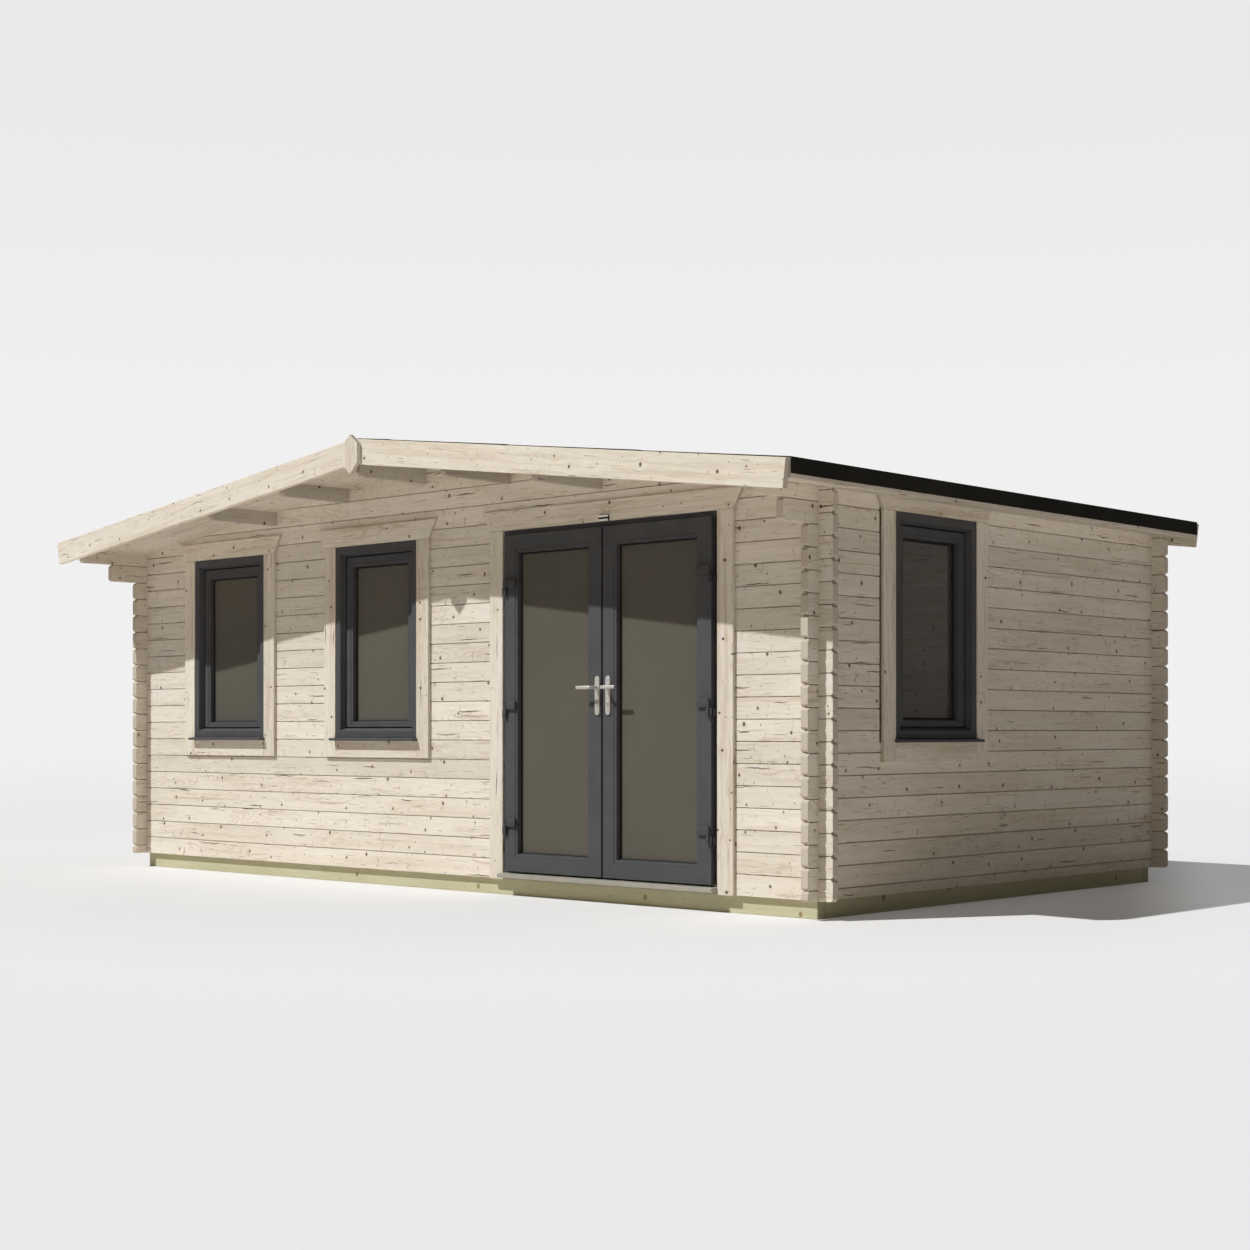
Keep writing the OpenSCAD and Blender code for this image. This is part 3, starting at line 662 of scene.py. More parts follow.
# knots: cell, share of the cells that have one, shift, then smallest and largest radius
KNOT = ((0.34, 0.115), 0.76, 0.0, 0.0060, 0.0120)
BEARER_KNOT = ((1.30, 0.10), 0.8, 0.0, 0.013, 0.019)
PIN = ((0.17, 0.075), 0.55, 31.7, 0.0028, 0.0052)

OLIVE = (0.70, 0.68, 0.56)
RESIN = (0.42, 0.27, 0.17)


def shaded(colour, share):
    """A colour made darker, or lighter above 1."""
    return tuple(share * c for c in colour)


def new_finish(name):
    """A new material, the pattern that its tree holds, and its shader."""
    made = bpy.data.materials.new(name)
    made.use_nodes = True
    return made, Pattern(made.node_tree), made.node_tree.nodes["Principled BSDF"]


class Scatter:
    """Marks scattered over a board, one to a cell at most. Holds a point's offset from the nearest mark,
    two random numbers of that mark, and whether the mark is there at all."""

    def __init__(self, p, along, across, cell, share, shift):
        long_cell, wide_cell = cell
        place = p.combine(p.plus(p.maths("DIVIDE", along, long_cell), shift),
                          p.plus(p.maths("DIVIDE", across, wide_cell), shift))
        cells = p.node("ShaderNodeTexVoronoi", voronoi_dimensions="2D", feature="F1")
        fill(cells, Vector=place, Scale=1.0)
        away = p.vector("SUBTRACT", place, cells.outputs["Position"])
        self.along, self.across, _ = p.parts(p.scaled(away, long_cell, wide_cell, 1.0))
        dice = p.node("ShaderNodeSeparateColor", cells.outputs["Color"]).outputs
        self.first, self.second = dice[1], dice[2]
        self.present = p.maths("GREATER_THAN", dice[0], 1.0 - share)


def knots(p, along, across, wobble, kind):
    """Round marks: how far inside one a point is, how close it is to one, its distance, and the marks."""
    *cells, smallest, largest = kind
    marks = Scatter(p, along, across, *cells)
    radius = p.plus(p.times(marks.first, largest - smallest), smallest)
    narrow = p.times(marks.along, 1.2)
    distance = p.maths("SQRT", p.plus(p.times(narrow, narrow), p.times(marks.across, marks.across)))
    distance = p.plus(distance, p.times(p.minus(wobble, 0.5), 0.5 * smallest))
    ratio = p.maths("DIVIDE", distance, radius)
    inside = p.times(p.step(ratio, 1.2, 0.7), marks.present)
    near = p.times(p.step(ratio, 3.2, 0.9), marks.present)
    return inside, near, distance, marks


def strokes(p, along, across, wave, kind):
    """Tapered strokes that follow the grain in slow waves."""
    *cells, reach, half_width, bend = kind
    marks = Scatter(p, along, across, *cells)
    span = p.plus(p.times(marks.first, reach * 0.7), reach * 0.3)
    ratio = p.maths("DIVIDE", marks.along, span)
    taper = p.minus(1.0, p.times(ratio, ratio))
    line = p.plus(marks.across, p.times(p.minus(wave, 0.5), bend))
    thick = p.times(taper, p.plus(p.times(marks.second, half_width * 0.7), half_width * 0.3))
    soft = 0.0007
    return p.times(p.step(p.minus(p.maths("ABSOLUTE", line), thick), soft, -soft), marks.present)


def wood(name, pale, warm, brown, knot_kind=KNOT, marks=1.0, lines=1.0, ticks=1.0, rough=0.78):
    """Planed softwood: growth lines that part round the knots, flecks, fine cracks and end grain.
    marks, lines and ticks are the strength of cracks and hairs, growth lines, and strokes across them."""
    made, p, shader = new_finish(name)
    grain = p.attribute("grain", "Vector")
    along, across, through = p.parts(grain)
    wobble = p.noise(grain, 160.0, 2.0)
    knot, near_knot, distance, big = knots(p, along, across, wobble, knot_kind)
    pin, near_pin, _, pins = knots(p, along, across, wobble, PIN)

    # the growth lines spread round a knot
    spread = p.times(p.step(distance, 0.06, 0.004), p.times(big.across, 0.75))
    flow = p.combine(along, p.minus(across, spread), through)
    broad = p.noise(p.scaled(flow, 0.8, 26.0, 12.0), 1.0, 3.0, 0.6, 0.5)
    fine = p.noise(p.scaled(flow, 4.0, 190.0, 60.0), 1.0, 3.0, 0.6)
    cloud = p.noise(p.scaled(grain, 1.3, 6.0, 5.0), 1.0, 3.0, 0.6)
    patches = p.step(cloud, 0.48, 0.66)
    swirl = p.noise(p.scaled(flow, 1.5, 8.0, 5.0), 1.0, 1.5, 0.5)
    rings = p.times(p.step(p.maths("SINE", p.times(swirl, 130.0)), 0.2, 1.0), patches)
    share = p.plus(p.times(p.step(broad, 0.46, 0.68), 0.24 * lines),
                   p.times(p.step(fine, 0.4, 0.75), 0.16 * lines))
    share = p.plus(share, p.times(rings, 0.45 * marks))
    colour = p.mix(share, pale, warm)
    greenish = p.step(p.noise(p.scaled(grain, 0.9, 3.1, 3.0), 1.0, 1.0), 0.35, 0.65, 0.0, 0.5)
    colour = p.mix(greenish, colour, p.mix(0.5, colour, OLIVE, "MULTIPLY"))
    streak = p.step(p.noise(p.scaled(flow, 9.0, 62.0, 30.0), 1.0, 4.0, 0.7), 0.32, 0.68, 0.955, 1.045)
    board = p.step(p.attribute("tint", "Fac"), 0.0, 1.0, 0.93, 1.03)
    colour = p.times_all(colour, p.times(board, streak))

    # brown smudges, then strokes along the grain, ticks across it, and the knots on top
    smudge = p.noise(p.scaled(flow, 3.0, 42.0, 20.0), 1.0, 4.0, 0.66)
    smudge = p.times(p.step(smudge, 0.56, 0.72), patches)
    colour = p.mix(p.times(smudge, 0.50 * marks), colour, brown)
    resin = p.step(p.noise(p.scaled(flow, 1.1, 36.0, 20.0), 1.0, 2.0), 0.64, 0.74)
    colour = p.mix(p.times(resin, 0.40 * marks), colour, RESIN)
    wave = p.noise(p.scaled(grain, 14.0, 3.0, 3.0), 1.0, 2.0)
    cracks = strokes(p, along, across, wave, CRACK)
    hairs = strokes(p, along, across, wave, HAIR)
    nicks = strokes(p, across, along, p.noise(grain, 22.0, 2.0), TICK)
    colour = p.mix(p.times(p.maths("MAXIMUM", near_knot, near_pin), 0.22), colour, warm)
    colour = p.mix(p.times(hairs, 0.75 * marks), colour, brown)
    colour = p.mix(p.times(nicks, 0.55 * ticks), colour, brown)
    colour = p.mix(p.times(cracks, 0.92 * marks), colour, shaded(brown, 0.7))
    heart = shaded(brown, 0.35)
    colour = p.mix(p.times(pin, p.step(pins.second, 0.0, 1.0, 0.35, 0.95)), colour, heart)
    core = p.step(p.maths("SINE", p.times(distance, 2600.0)), -1.0, 1.0, 0.80, 1.0)
    colour = p.mix(p.times(p.times(knot, core), 0.97), colour, heart)

    # end grain: rings about a pith that lies off the board's middle
    reach = p.size(p.combine(p.maths("FRACT", across), p.plus(p.maths("FRACT", through), 0.6)))
    wave = p.maths("SINE", p.times(p.plus(reach, p.times(cloud, 0.01)), 1500.0))
    cut_wood = p.mix(p.step(wave, -0.6, 1.0, 0.35, 0.85), shaded(pale, 0.88), shaded(warm, 0.7))
    colour = p.mix(p.times(p.attribute("end", "Fac"), 0.9), colour, cut_wood)

    height = p.plus(p.times(fine, 0.35), p.times(broad, 0.5))
    height = p.minus(height, p.plus(p.times(cracks, 1.2), p.times(knot, 0.5)))
    fill(shader, Base_Color=colour, Roughness=p.step(broad, 0.3, 0.8, rough - 0.08, rough + 0.08),
         Normal=p.bump(height, 0.30, 0.0012), Specular_IOR_Level=0.2)
    return made


def pine(name, timber, pale=1.0, warm=1.0, **strengths):
    """Pine in the cabin's own colours, darker or lighter. The darker copies paint shade on the roof boards
    and purlins.
    """
    return wood(name, shaded(timber.pale, pale), shaded(timber.warm, warm), timber.brown, **strengths)


def moulded(name, colour, rough, grain=900.0, strength=0.12):
    """Smooth plastic or painted metal, with a fine texture and slight wear in its gloss."""
    made, p, shader = new_finish(name)
    spot = p.spot()
    cloud = p.noise(spot, 7.0, 3.0)
    fill(shader, Base_Color=p.mix(p.step(cloud, 0.3, 0.7), colour, shaded(colour, 0.86)),
         Roughness=p.plus(p.times(cloud, 0.16), rough - 0.08),
         Normal=p.bump(p.noise(spot, grain, 2.0), strength, 0.0004), Specular_IOR_Level=0.5)
    return made


def satin_steel(name, colour):
    """Brushed metal, with fine lines in its gloss."""
    made, p, shader = new_finish(name)
    lines = p.noise(p.scaled(p.spot(), 900.0, 900.0, 60.0), 1.0, 2.0)
    fill(shader, Base_Color=p.mix(p.step(lines, 0.3, 0.7), colour, shaded(colour, 0.9)),
         Roughness=p.step(lines, 0.3, 0.7, 0.30, 0.42), Normal=p.bump(lines, 0.08, 0.0003), Metallic=0.4)
    return made


def tinted_glass(name, tint, cover):
    """A dark pane that shows sun and shade on it. cover is the share of what lies behind that it hides."""
    made, p, shader = new_finish(name)
    ripple = p.noise(p.spot(), 1.3, 2.0)
    path = p.node("ShaderNodeLightPath").outputs
    passing = p.maths("MAXIMUM", path["Is Diffuse Ray"], path["Is Shadow Ray"])
    fill(shader, Base_Color=p.mix(p.step(ripple, 0.3, 0.7), tint, shaded(tint, 0.9)),
         Roughness=p.step(ripple, 0.3, 0.7, 0.10, 0.14), Alpha=p.step(passing, 0.0, 1.0, cover, 0.10),
         Specular_IOR_Level=0.1)
    return made


def roof_felt(name, colour):
    """Bitumen felt with mineral grit."""
    made, p, shader = new_finish(name)
    spot = p.spot()
    grit = p.noise(spot, 420.0, 3.0, 0.7)
    cloud = p.noise(spot, 3.0, 4.0)
    share = p.plus(p.times(p.step(grit, 0.55, 0.75), 0.55), p.times(p.step(cloud, 0.4, 0.7), 0.25))
    fill(shader, Base_Color=p.mix(share, colour, shaded(colour, 2.6)),
         Roughness=p.step(grit, 0.3, 0.7, 0.85, 0.98), Normal=p.bump(grit, 0.6, 0.0015),
         Specular_IOR_Level=0.12)
    return made


def foam(name, colour):
    """Rigid foam with a fine cell."""
    made, p, shader = new_finish(name)
    cell = fill(p.node("ShaderNodeTexVoronoi"), Vector=p.spot(), Scale=350.0).outputs[0]
    fill(shader, Base_Color=p.mix(p.step(cell, 0.2, 0.7), colour, shaded(colour, 0.85)), Roughness=0.9,
         Normal=p.bump(cell, 0.3, 0.001))
    return made


# each finish: the material slot of its pieces, and how it is made from the timber and joinery settings
FINISHES = {
    "Planed pine": ("log_timber", lambda name, t, j: pine(name, t)),
    "Trim pine": ("planed_timber", lambda name, t, j: pine(name, t, lines=2.2, ticks=0.0)),
    "Edge pine": ("planed_timber", lambda name, t, j: pine(name, t, 1.05, 1.12, lines=1.9, ticks=0.0)),
    # painted shade: the roof boards, seen only under the eaves, are 0.92 as pale as the logs
    "Roof pine": ("planed_timber", lambda name, t, j: pine(name, t, 0.92)),
    # painted shade: the purlins' sides under the roof are 0.70 as pale as the logs
    "Purlin pine": ("planed_timber", lambda name, t, j: pine(name, t, 0.70, 0.75)),
    "Floor pine": ("floor_boards", lambda name, t, j: pine(name, t, rough=0.6)),
    "Treated pine": ("treated_timber", lambda name, t, j: wood(
        name, t.treated, shaded(t.treated, 0.82), t.stain, BEARER_KNOT, 0.3, ticks=0.0, rough=0.85)),
    "Grey profile": ("anthracite_plastic", lambda name, t, j: moulded(name, j.grey, 0.58)),
    # black rubber for seals and spacers; the same finish paints shade in the keyhole, the keep's slot and the
    # door's gap
    "Seal": ("anthracite_plastic", lambda name, t, j: moulded(name, j.rubber, 0.6)),
    "Threshold": ("threshold", lambda name, t, j: moulded(name, j.threshold, 0.6, 300.0, 0.2)),
    "Dark metal": ("dark_metal", lambda name, t, j: moulded(name, j.dark_metal, 0.50)),
    "White metal": ("satin_metal", lambda name, t, j: moulded(name, j.white_metal, 0.4)),
    "Satin metal": ("satin_metal", lambda name, t, j: satin_steel(name, j.metal)),
    "Tinted glass": ("glazing", lambda name, t, j: tinted_glass(name, j.glass, 0.85)),
    "Clear glass": ("glazing", lambda name, t, j: tinted_glass(name, j.clear_glass, 0.16)),
    "Roof felt": ("roof_felt", lambda name, t, j: roof_felt(name, t.felt)),
    "Foam": (None, lambda name, t, j: foam(name, t.foam)),
}


def finish_of(name):
    """One of the cabin's finishes, made the first time it is asked for."""
    scene = bpy.context.scene
    made = bpy.data.materials.get(name)
    return made or FINISHES[name][1](name, scene.cabin_timber, scene.cabin_joinery)


# ---- logs ----


def log_section(height, thickness):
    """A log's section as (across, through) points: V edges, a groove below and a tongue above."""
    timber = bpy.context.scene.cabin_timber
    vee, gap, rise = timber.joint / 2, timber.shrinkage, timber.tongue
    groove = GROOVE_START * thickness
    slack = TONGUE_SLACK * timber.log_wander
    tongue = groove + slack
    outer = [(vee, 0.0), (gap, vee), (gap, groove), (rise, groove)]
    upper = [(height + rise - slack, tongue), (height - gap, tongue), (height - gap, vee),
             (height - vee, 0.0)]
    far_outer, far_upper = ([(v, thickness - w) for v, w in reversed(side)] for side in (outer, upper))
    return outer + far_outer + far_upper + upper


def laid(mesh, start, along, across):
    """Lays a timber, drawn across and through and extruded along +Z, in its place in the building."""
    mesh.transform(facing(start, across, along.cross(across)))
    bmesh.ops.recalc_face_normals(mesh, faces=mesh.faces)
    return mesh


def log(start, height, thickness, size, along, across, chamfer_top=True):
    """One log from start, with chamfered ends, as a mesh in the building."""
    chamfer = bpy.context.scene.cabin_timber.end_chamfer
    mesh = extrude(log_section(height, thickness), size)
    slant = math.sqrt(0.5)
    for z, outward in ((0, -slant), (size, slant)):
        cut_off(mesh, (chamfer, 0, z), (-slant, 0, outward))
        if chamfer_top:
            cut_off(mesh, (height - chamfer, 0, z), (slant, 0, outward))
    return laid(mesh, start, along, across)


def grown(boxes, by):
    """Blocks for some boxes, longer by a vector at both ends."""
    return [block(low - by, high + by) for low, high in boxes]


def above_soffit(roof):
    """A block that holds everything above the underside of the roof boards."""
    reach, top = 4.0, roof.soffit_ridge + 1.0
    outline = [(-reach, roof.soffit(reach)), (0, roof.soffit_ridge), (reach, roof.soffit(reach)),
               (reach, top), (-reach, top)]
    return upright(outline, -reach, reach)


class CABIN_OT_logs(bpy.types.Operator):
    """Stack the crossed logs of the four walls"""

    bl_idname = "cabin.logs"
    bl_label = "Log Walls"

    def execute(self, context):
        timber, roof = context.scene.cabin_timber, Roof()
        nodes = ("front_gable", "back_wall", "left_wall", "right_wall")
        front, back, left, right = (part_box(node) for node in nodes)
        base = back[0].z
        row = (front[0].z - base) / timber.log_rows
        thick = front[1].y - front[0].y
        rows = math.ceil((roof.soffit_ridge - base) / row)
        windows = solids("window_frames")
        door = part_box("door_frame")
        doorway = (Vector((door[0].x, front[0].y, 0)), Vector((door[1].x, front[1].y, front[0].z)))
        through = 0.1

        for name, wall, boxes, seed, *nodes in (
                ("front_logs", front, windows[:2], 3, "front_wall_left", "front_wall_right", "front_gable"),
                ("back_logs", back, [], 8, "back_wall")):
            holes = grown(boxes, through * Y)
            if wall is front:
                holes += grown([doorway], through * Y)
            blank = log(Vector((wall[0].x, wall[1].y, base)), row, thick, wall[1].x - wall[0].x, X, Z)
            show_run(name, blank, rows, row * Z, base * Z, X, Z, "Planed pine", seed, *nodes,
                     wander=timber.log_wander, openings=[*holes, above_soffit(roof)])

        top = base + (timber.log_rows - 0.5) * row
        bracket = min(co.y for co in points_where("left_wall", 2, top - row, row / 4))
        end = back[1].y + front[1].x - abs(right[1].x)
        for node, wall, boxes, seed in (("left_wall", left, [], 5), ("right_wall", right, windows[2:], 11)):
            inner = wall[0].x

            def side_log(first, last, z, height=row, chamfer_top=True):
                return log(Vector((inner, first, z)), height, thick, last - first, Y, Z, chamfer_top)

            odd = (side_log(-end, end, base, row / 2), side_log(bracket, end, top - row),
                   side_log(wall[0].y, wall[1].y, top, chamfer_top=False))
            first = base + row / 2
            show_run(node.replace("wall", "logs"), side_log(-end, end, first), timber.log_rows - 2, row * Z,
                     first * Z, Y, Z, "Planed pine", seed, node, wander=timber.log_wander, odd=odd,
                     openings=[*grown(boxes, through * (X + Y)), above_soffit(roof)])
        return {"FINISHED"}


# ---- base and floor ----


def plank(size, width, thickness, vee, start, along, across):
    """One plank from start, with V edges on its lower face, as a mesh in the building."""
    gap = 0.0004
    section = [(gap, vee), (vee, 0), (width - vee, 0), (width - gap, vee), (width - gap, thickness),
               (gap, thickness)]
    return laid(extrude(section, size), start, along, across)


class CABIN_OT_base(bpy.types.Operator):
    """Lay the bearers, the joists and the floor"""

    bl_idname = "cabin.base"
    bl_label = "Base and Floor"

    def execute(self, context):
        timber = context.scene.cabin_timber
        bearers = {"front_bearer": 0, "back_bearer": 0, "side_bearers": 1}
        base = Timber(21)
        for node, axis in bearers.items():
            for low, high in solids(node):
                base.box(low, high, axis, radius=timber.bearer_edge)
        base.finish("bearers", "Treated pine", CABIN, *bearers)

        joists = solids("floor_joists")
        low, high = joists[0]
        blank = block(low, high)
        round_edges(blank, timber.bearer_edge)
        step = (joists[1][0].x - low.x) * X
        show_run("joists", blank, len(joists), step, low - step / 2, Y, Z, "Treated pine", 31, "floor_joists")

        low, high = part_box("floor_boards")
        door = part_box("door_frame")
        gap = 0.006
        notch = block((door[0].x - gap, low.y - 1, 0), (door[1].x + gap, door[1].y + gap, 1))
        count = math.ceil((high.y - low.y) / timber.floor_plank)
        width = (high.y - low.y) / count
        blank = plank(high.x - low.x, width, high.z - low.z, timber.floor_vee,
                      Vector((low.x, high.y, high.z)), X, -Y)
        show_run("floor", blank, count, -width * Y, high.y * Y, X, Y, "Floor pine", 41, "floor_boards",
                 openings=[notch])
        return {"FINISHED"}


# ---- roof ----


class CABIN_OT_roof(bpy.types.Operator):
    """Make the purlins, roof boards, felt, eaves boards, bargeboards and finial"""

    bl_idname = "cabin.roof"
    bl_label = "Roof"

    def execute(self, context):
        timber, roof = context.scene.cabin_timber, Roof()
        self.purlins(roof, timber.purlin_cut)
        self.roof_boards(roof, timber)
        for side, node in ((-1, "roof_felt_left"), (1, "roof_felt_right")):
            self.felt(roof, timber, side, node)
        self.edges(roof, timber)
        for node in ("insulation_left", "insulation_right"):
            data = frame["nodes"][node].data
            data.materials.clear()
            data.materials.append(finish_of("Foam"))
        return {"FINISHED"}

    def purlins(self, roof, cut):
        for seed, node in enumerate(("ridge_purlin", "inner_purlins", "outer_purlins"), 51):
            beams = Timber(seed)
            for low, high in solids(node):
                top = roof.soffit(max(abs(low.x), abs(high.x))) - low.z
                size = high.y - low.y
                outline = [(cut, 0), (size - cut, 0), (size, cut), (size, top), (0, top), (0, cut)]
                beams.board(outline, high.x - low.x, facing(low, Y, Z))
            # painted shade: the purlins take darkened pine
            beams.finish(node + "_timber", "Purlin pine", CABIN, node)

    def roof_boards(self, roof, timber):
        count = round((roof.back - roof.front) / timber.plank)
        width = (roof.back - roof.front) / count
        thick = (roof.top_ridge - roof.soffit_ridge) * math.cos(roof.pitch)
        spare = 0.05
        size = roof.eave / math.cos(roof.pitch) + 2 * spare
        for side, node, seed in ((-1, "roof_boards_left", 61), (1, "roof_boards_right", 62)):
            along, across = roof.down(side), side * -Y
            start_y = roof.back if side > 0 else roof.front
            start = roof.soffit_ridge * Z + start_y * Y - spare * along
            blank = plank(size, width, thick, timber.plank_vee, start, along, across)
            cut_off(blank, (0, 0, 0), (-side, 0, 0))
            cut_off(blank, (side * roof.eave, 0, 0), (side, 0, 0))
            # the boards take pine darkened as painted shade
            show_run(node + "_planks", blank, count, width * across, start_y * Y, along, across, "Roof pine",
                     seed, node)

    def felt(self, roof, timber, side, node):
        """Sheets that overlap down the slope. The lowest one is turned down over the eaves board."""
        sheet = timber.felt_sheet
        low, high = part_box(node)
        outer = max(abs(low.x), abs(high.x))
        under = min(co.z for co in points_where(node, 0, 0.0, SAME))
        depth = (high.z - under) * math.cos(roof.pitch)
        reach = (outer - depth * math.sin(roof.pitch)) / math.cos(roof.pitch)
        felt = Shell()
        place = facing(Vector((0, high.y if side > 0 else low.y, under)), roof.down(side), roof.out(side))
        rows = math.ceil(reach / timber.felt_width)
        lift, thin = 0.9 * (depth - sheet), 0.001
        for i in range(rows):
            start = max(0.0, reach - (rows - i) * timber.felt_width - timber.felt_lap)
            end = reach - (rows - 1 - i) * timber.felt_width
            outline = [(start, 0.4 * thin), (end - 3 * thin, lift), (end, lift + thin),
                       (end, depth - 0.8 * thin), (end - 2 * thin, depth), (start, depth - lift)]
            felt.add(extrude(outline, high.y - low.y), place)

        def top(x):
            return under - x * roof.slope + depth / math.cos(roof.pitch) - FIT

        wall = outer - sheet
        tucked = wall - 10 * thin
        fold = [(wall, low.z), (outer, low.z), (outer, top(outer)), (tucked, top(tucked)),
                (wall, under - wall * roof.slope)]
        felt.add(upright([(side * x, z) for x, z in fold], low.y, high.y))
        felt.finish(node + "_sheets", "Roof felt", CABIN, node)

    def edges(self, roof, timber):
        eaves = Timber(71)
        for low, high in solids("eaves_boards"):
            slack = (high.x - low.x) * roof.slope
            eaves.box(low, high - slack * Z, 1)
        eaves.finish("eaves", "Trim pine", CABIN, "eaves_boards")

        wide, gap = timber.bargeboard, 0.0003
        heel = wide * math.tan(roof.pitch)
        ends = [(end, name, side) for end in ("front", "back") for name, side in SIDES]
        for seed, (end, name, side) in enumerate(ends, 105):
            node = f"{end}_bargeboard_{name}"
            low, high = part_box(node)
            reach = max(abs(low.x), abs(high.x)) / math.cos(roof.pitch)
            outline = [(gap, 0), (heel + gap, -wide), (reach, -wide), (reach, 0)]
            origin = Vector((0, high.y if side > 0 else low.y, high.z))
            board = Timber(seed)
            board.board(outline, high.y - low.y, facing(origin, roof.down(side), roof.out(side)))
            board.finish(node + "_board", "Edge pine", CABIN, node)

        low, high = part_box("finial")
        wide, deep, tall = high - low
        foot, shoulder = 0.29 * tall, 0.765 * tall
        outline = [(0, wide / 2), (foot, 0), (shoulder, 0), (tall, wide / 2), (shoulder, wide), (foot, wide)]
        finial = Timber(91)
        finial.board(outline, deep, facing(low, Z, X), timber.finial_edge)
        finial.finish("finial_board", "Edge pine", CABIN, "finial")


# ---- boards round the openings ----


def doorway_half(timber):
    """Half the width between the boards beside the doorway."""
    low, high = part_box("door_trim")
    return (high.x - low.x) / 2 - timber.head_flare - timber.trim_width


def trim_boards(timber, boards, half, low, top, head, place):
    """Two upright boards either side of an opening and a head board with slanted ends over them."""
    wide = timber.trim_width
    for side in (-1, 1):
        inner, outer = sorted((side * half, side * (half + wide)))
        boards.box((inner, TRIM_FACE, low), (outer, -FIT, top), 2, place)
    flare = timber.head_flare * head / timber.head_height
    end = half + wide
    outline = [(0, 0), (2 * end, 0), (2 * end + flare, head), (-flare, head)]
    origin = Vector((-end, -FIT, top + timber.trim_gap))
    boards.board(outline, -FIT - TRIM_FACE, place @ facing(origin, X, Z))


class CABIN_OT_trims(bpy.types.Operator):
    """Fix the boards round the windows and the doorway"""

    bl_idname = "cabin.trims"
    bl_label = "Opening Boards"

    def execute(self, context):
        timber, hidden = context.scene.cabin_timber, context.scene.cabin_joinery.frame_hidden
        boards = Timber(101)
        for place, casing, trim in zip(window_places(), solids("window_frames"), solids("window_trims")):
            casing, (low, high) = in_place(casing, place), in_place(trim, place)
            half, top = casing[1].x - hidden, casing[1].z - hidden
            trim_boards(timber, boards, half, low.z, top, high.z - top, place)
            inner = half - timber.trim_gap
            boards.box((-inner, low.y, low.z), (inner, -FIT, low.z + timber.sill_trim), 0, place)
        boards.finish("window_boards", "Trim pine", CABIN, "window_trims")

        low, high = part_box("door_trim")
        place = Matrix.Translation(((low.x + high.x) / 2, high.y, 0))
        boards = Timber(111)
        trim_boards(timber, boards, doorway_half(timber), low.z, high.z - timber.head_height,
                    timber.head_height, place)
        boards.finish("door_boards", "Trim pine", CABIN, "door_trim")
        return {"FINISHED"}


# ---- frames, sashes and leaves ----


def rounded(points, radius, steps=3):
    """A closed outline with its corners rounded, where its sides are long enough."""
    out, most = [], 0.45
    points = [Vector(point) for point in points]
    for before, corner, after in zip(points[-1:] + points, points, points[1:] + points[:1]):
        before, after = before - corner, after - corner
        reach = min(radius, most * before.length, most * after.length)
        start, stop = corner + before.normalized() * reach, corner + after.normalized() * reach
        for k in range(steps + 1):
            t = k / steps
            out.append(((1 - t) ** 2 * start + 2 * t * (1 - t) * corner + t ** 2 * stop).to_tuple())
    return out


def mitred(profile, foot, half, low, high, gap, sides):
    """The bars of a frame, mitred at their corners. profile is a closed loop of (inward, depth) points,
    measured from an outer edge at x = +-half, z = low and z = high. foot is that of the bottom bar."""
    bars = []
    for letter in sides:
        rings = []
        for end in (-1, 1):
            ring = []
            for (inward, depth), (rise, _) in zip(profile, foot):
                if letter in "BT":
                    x = end * (half - inward - gap)
                    z = low + rise if letter == "B" else high - inward
                else:
                    x = (half - inward) * (1 if letter == "R" else -1)
                    bottom = low + rise + gap if "B" in sides else low
                    z = bottom if end < 0 else high - inward - gap
                ring.append((x, depth, z))
            rings.append(ring)
        bars.append(loft(rings))
    return bars


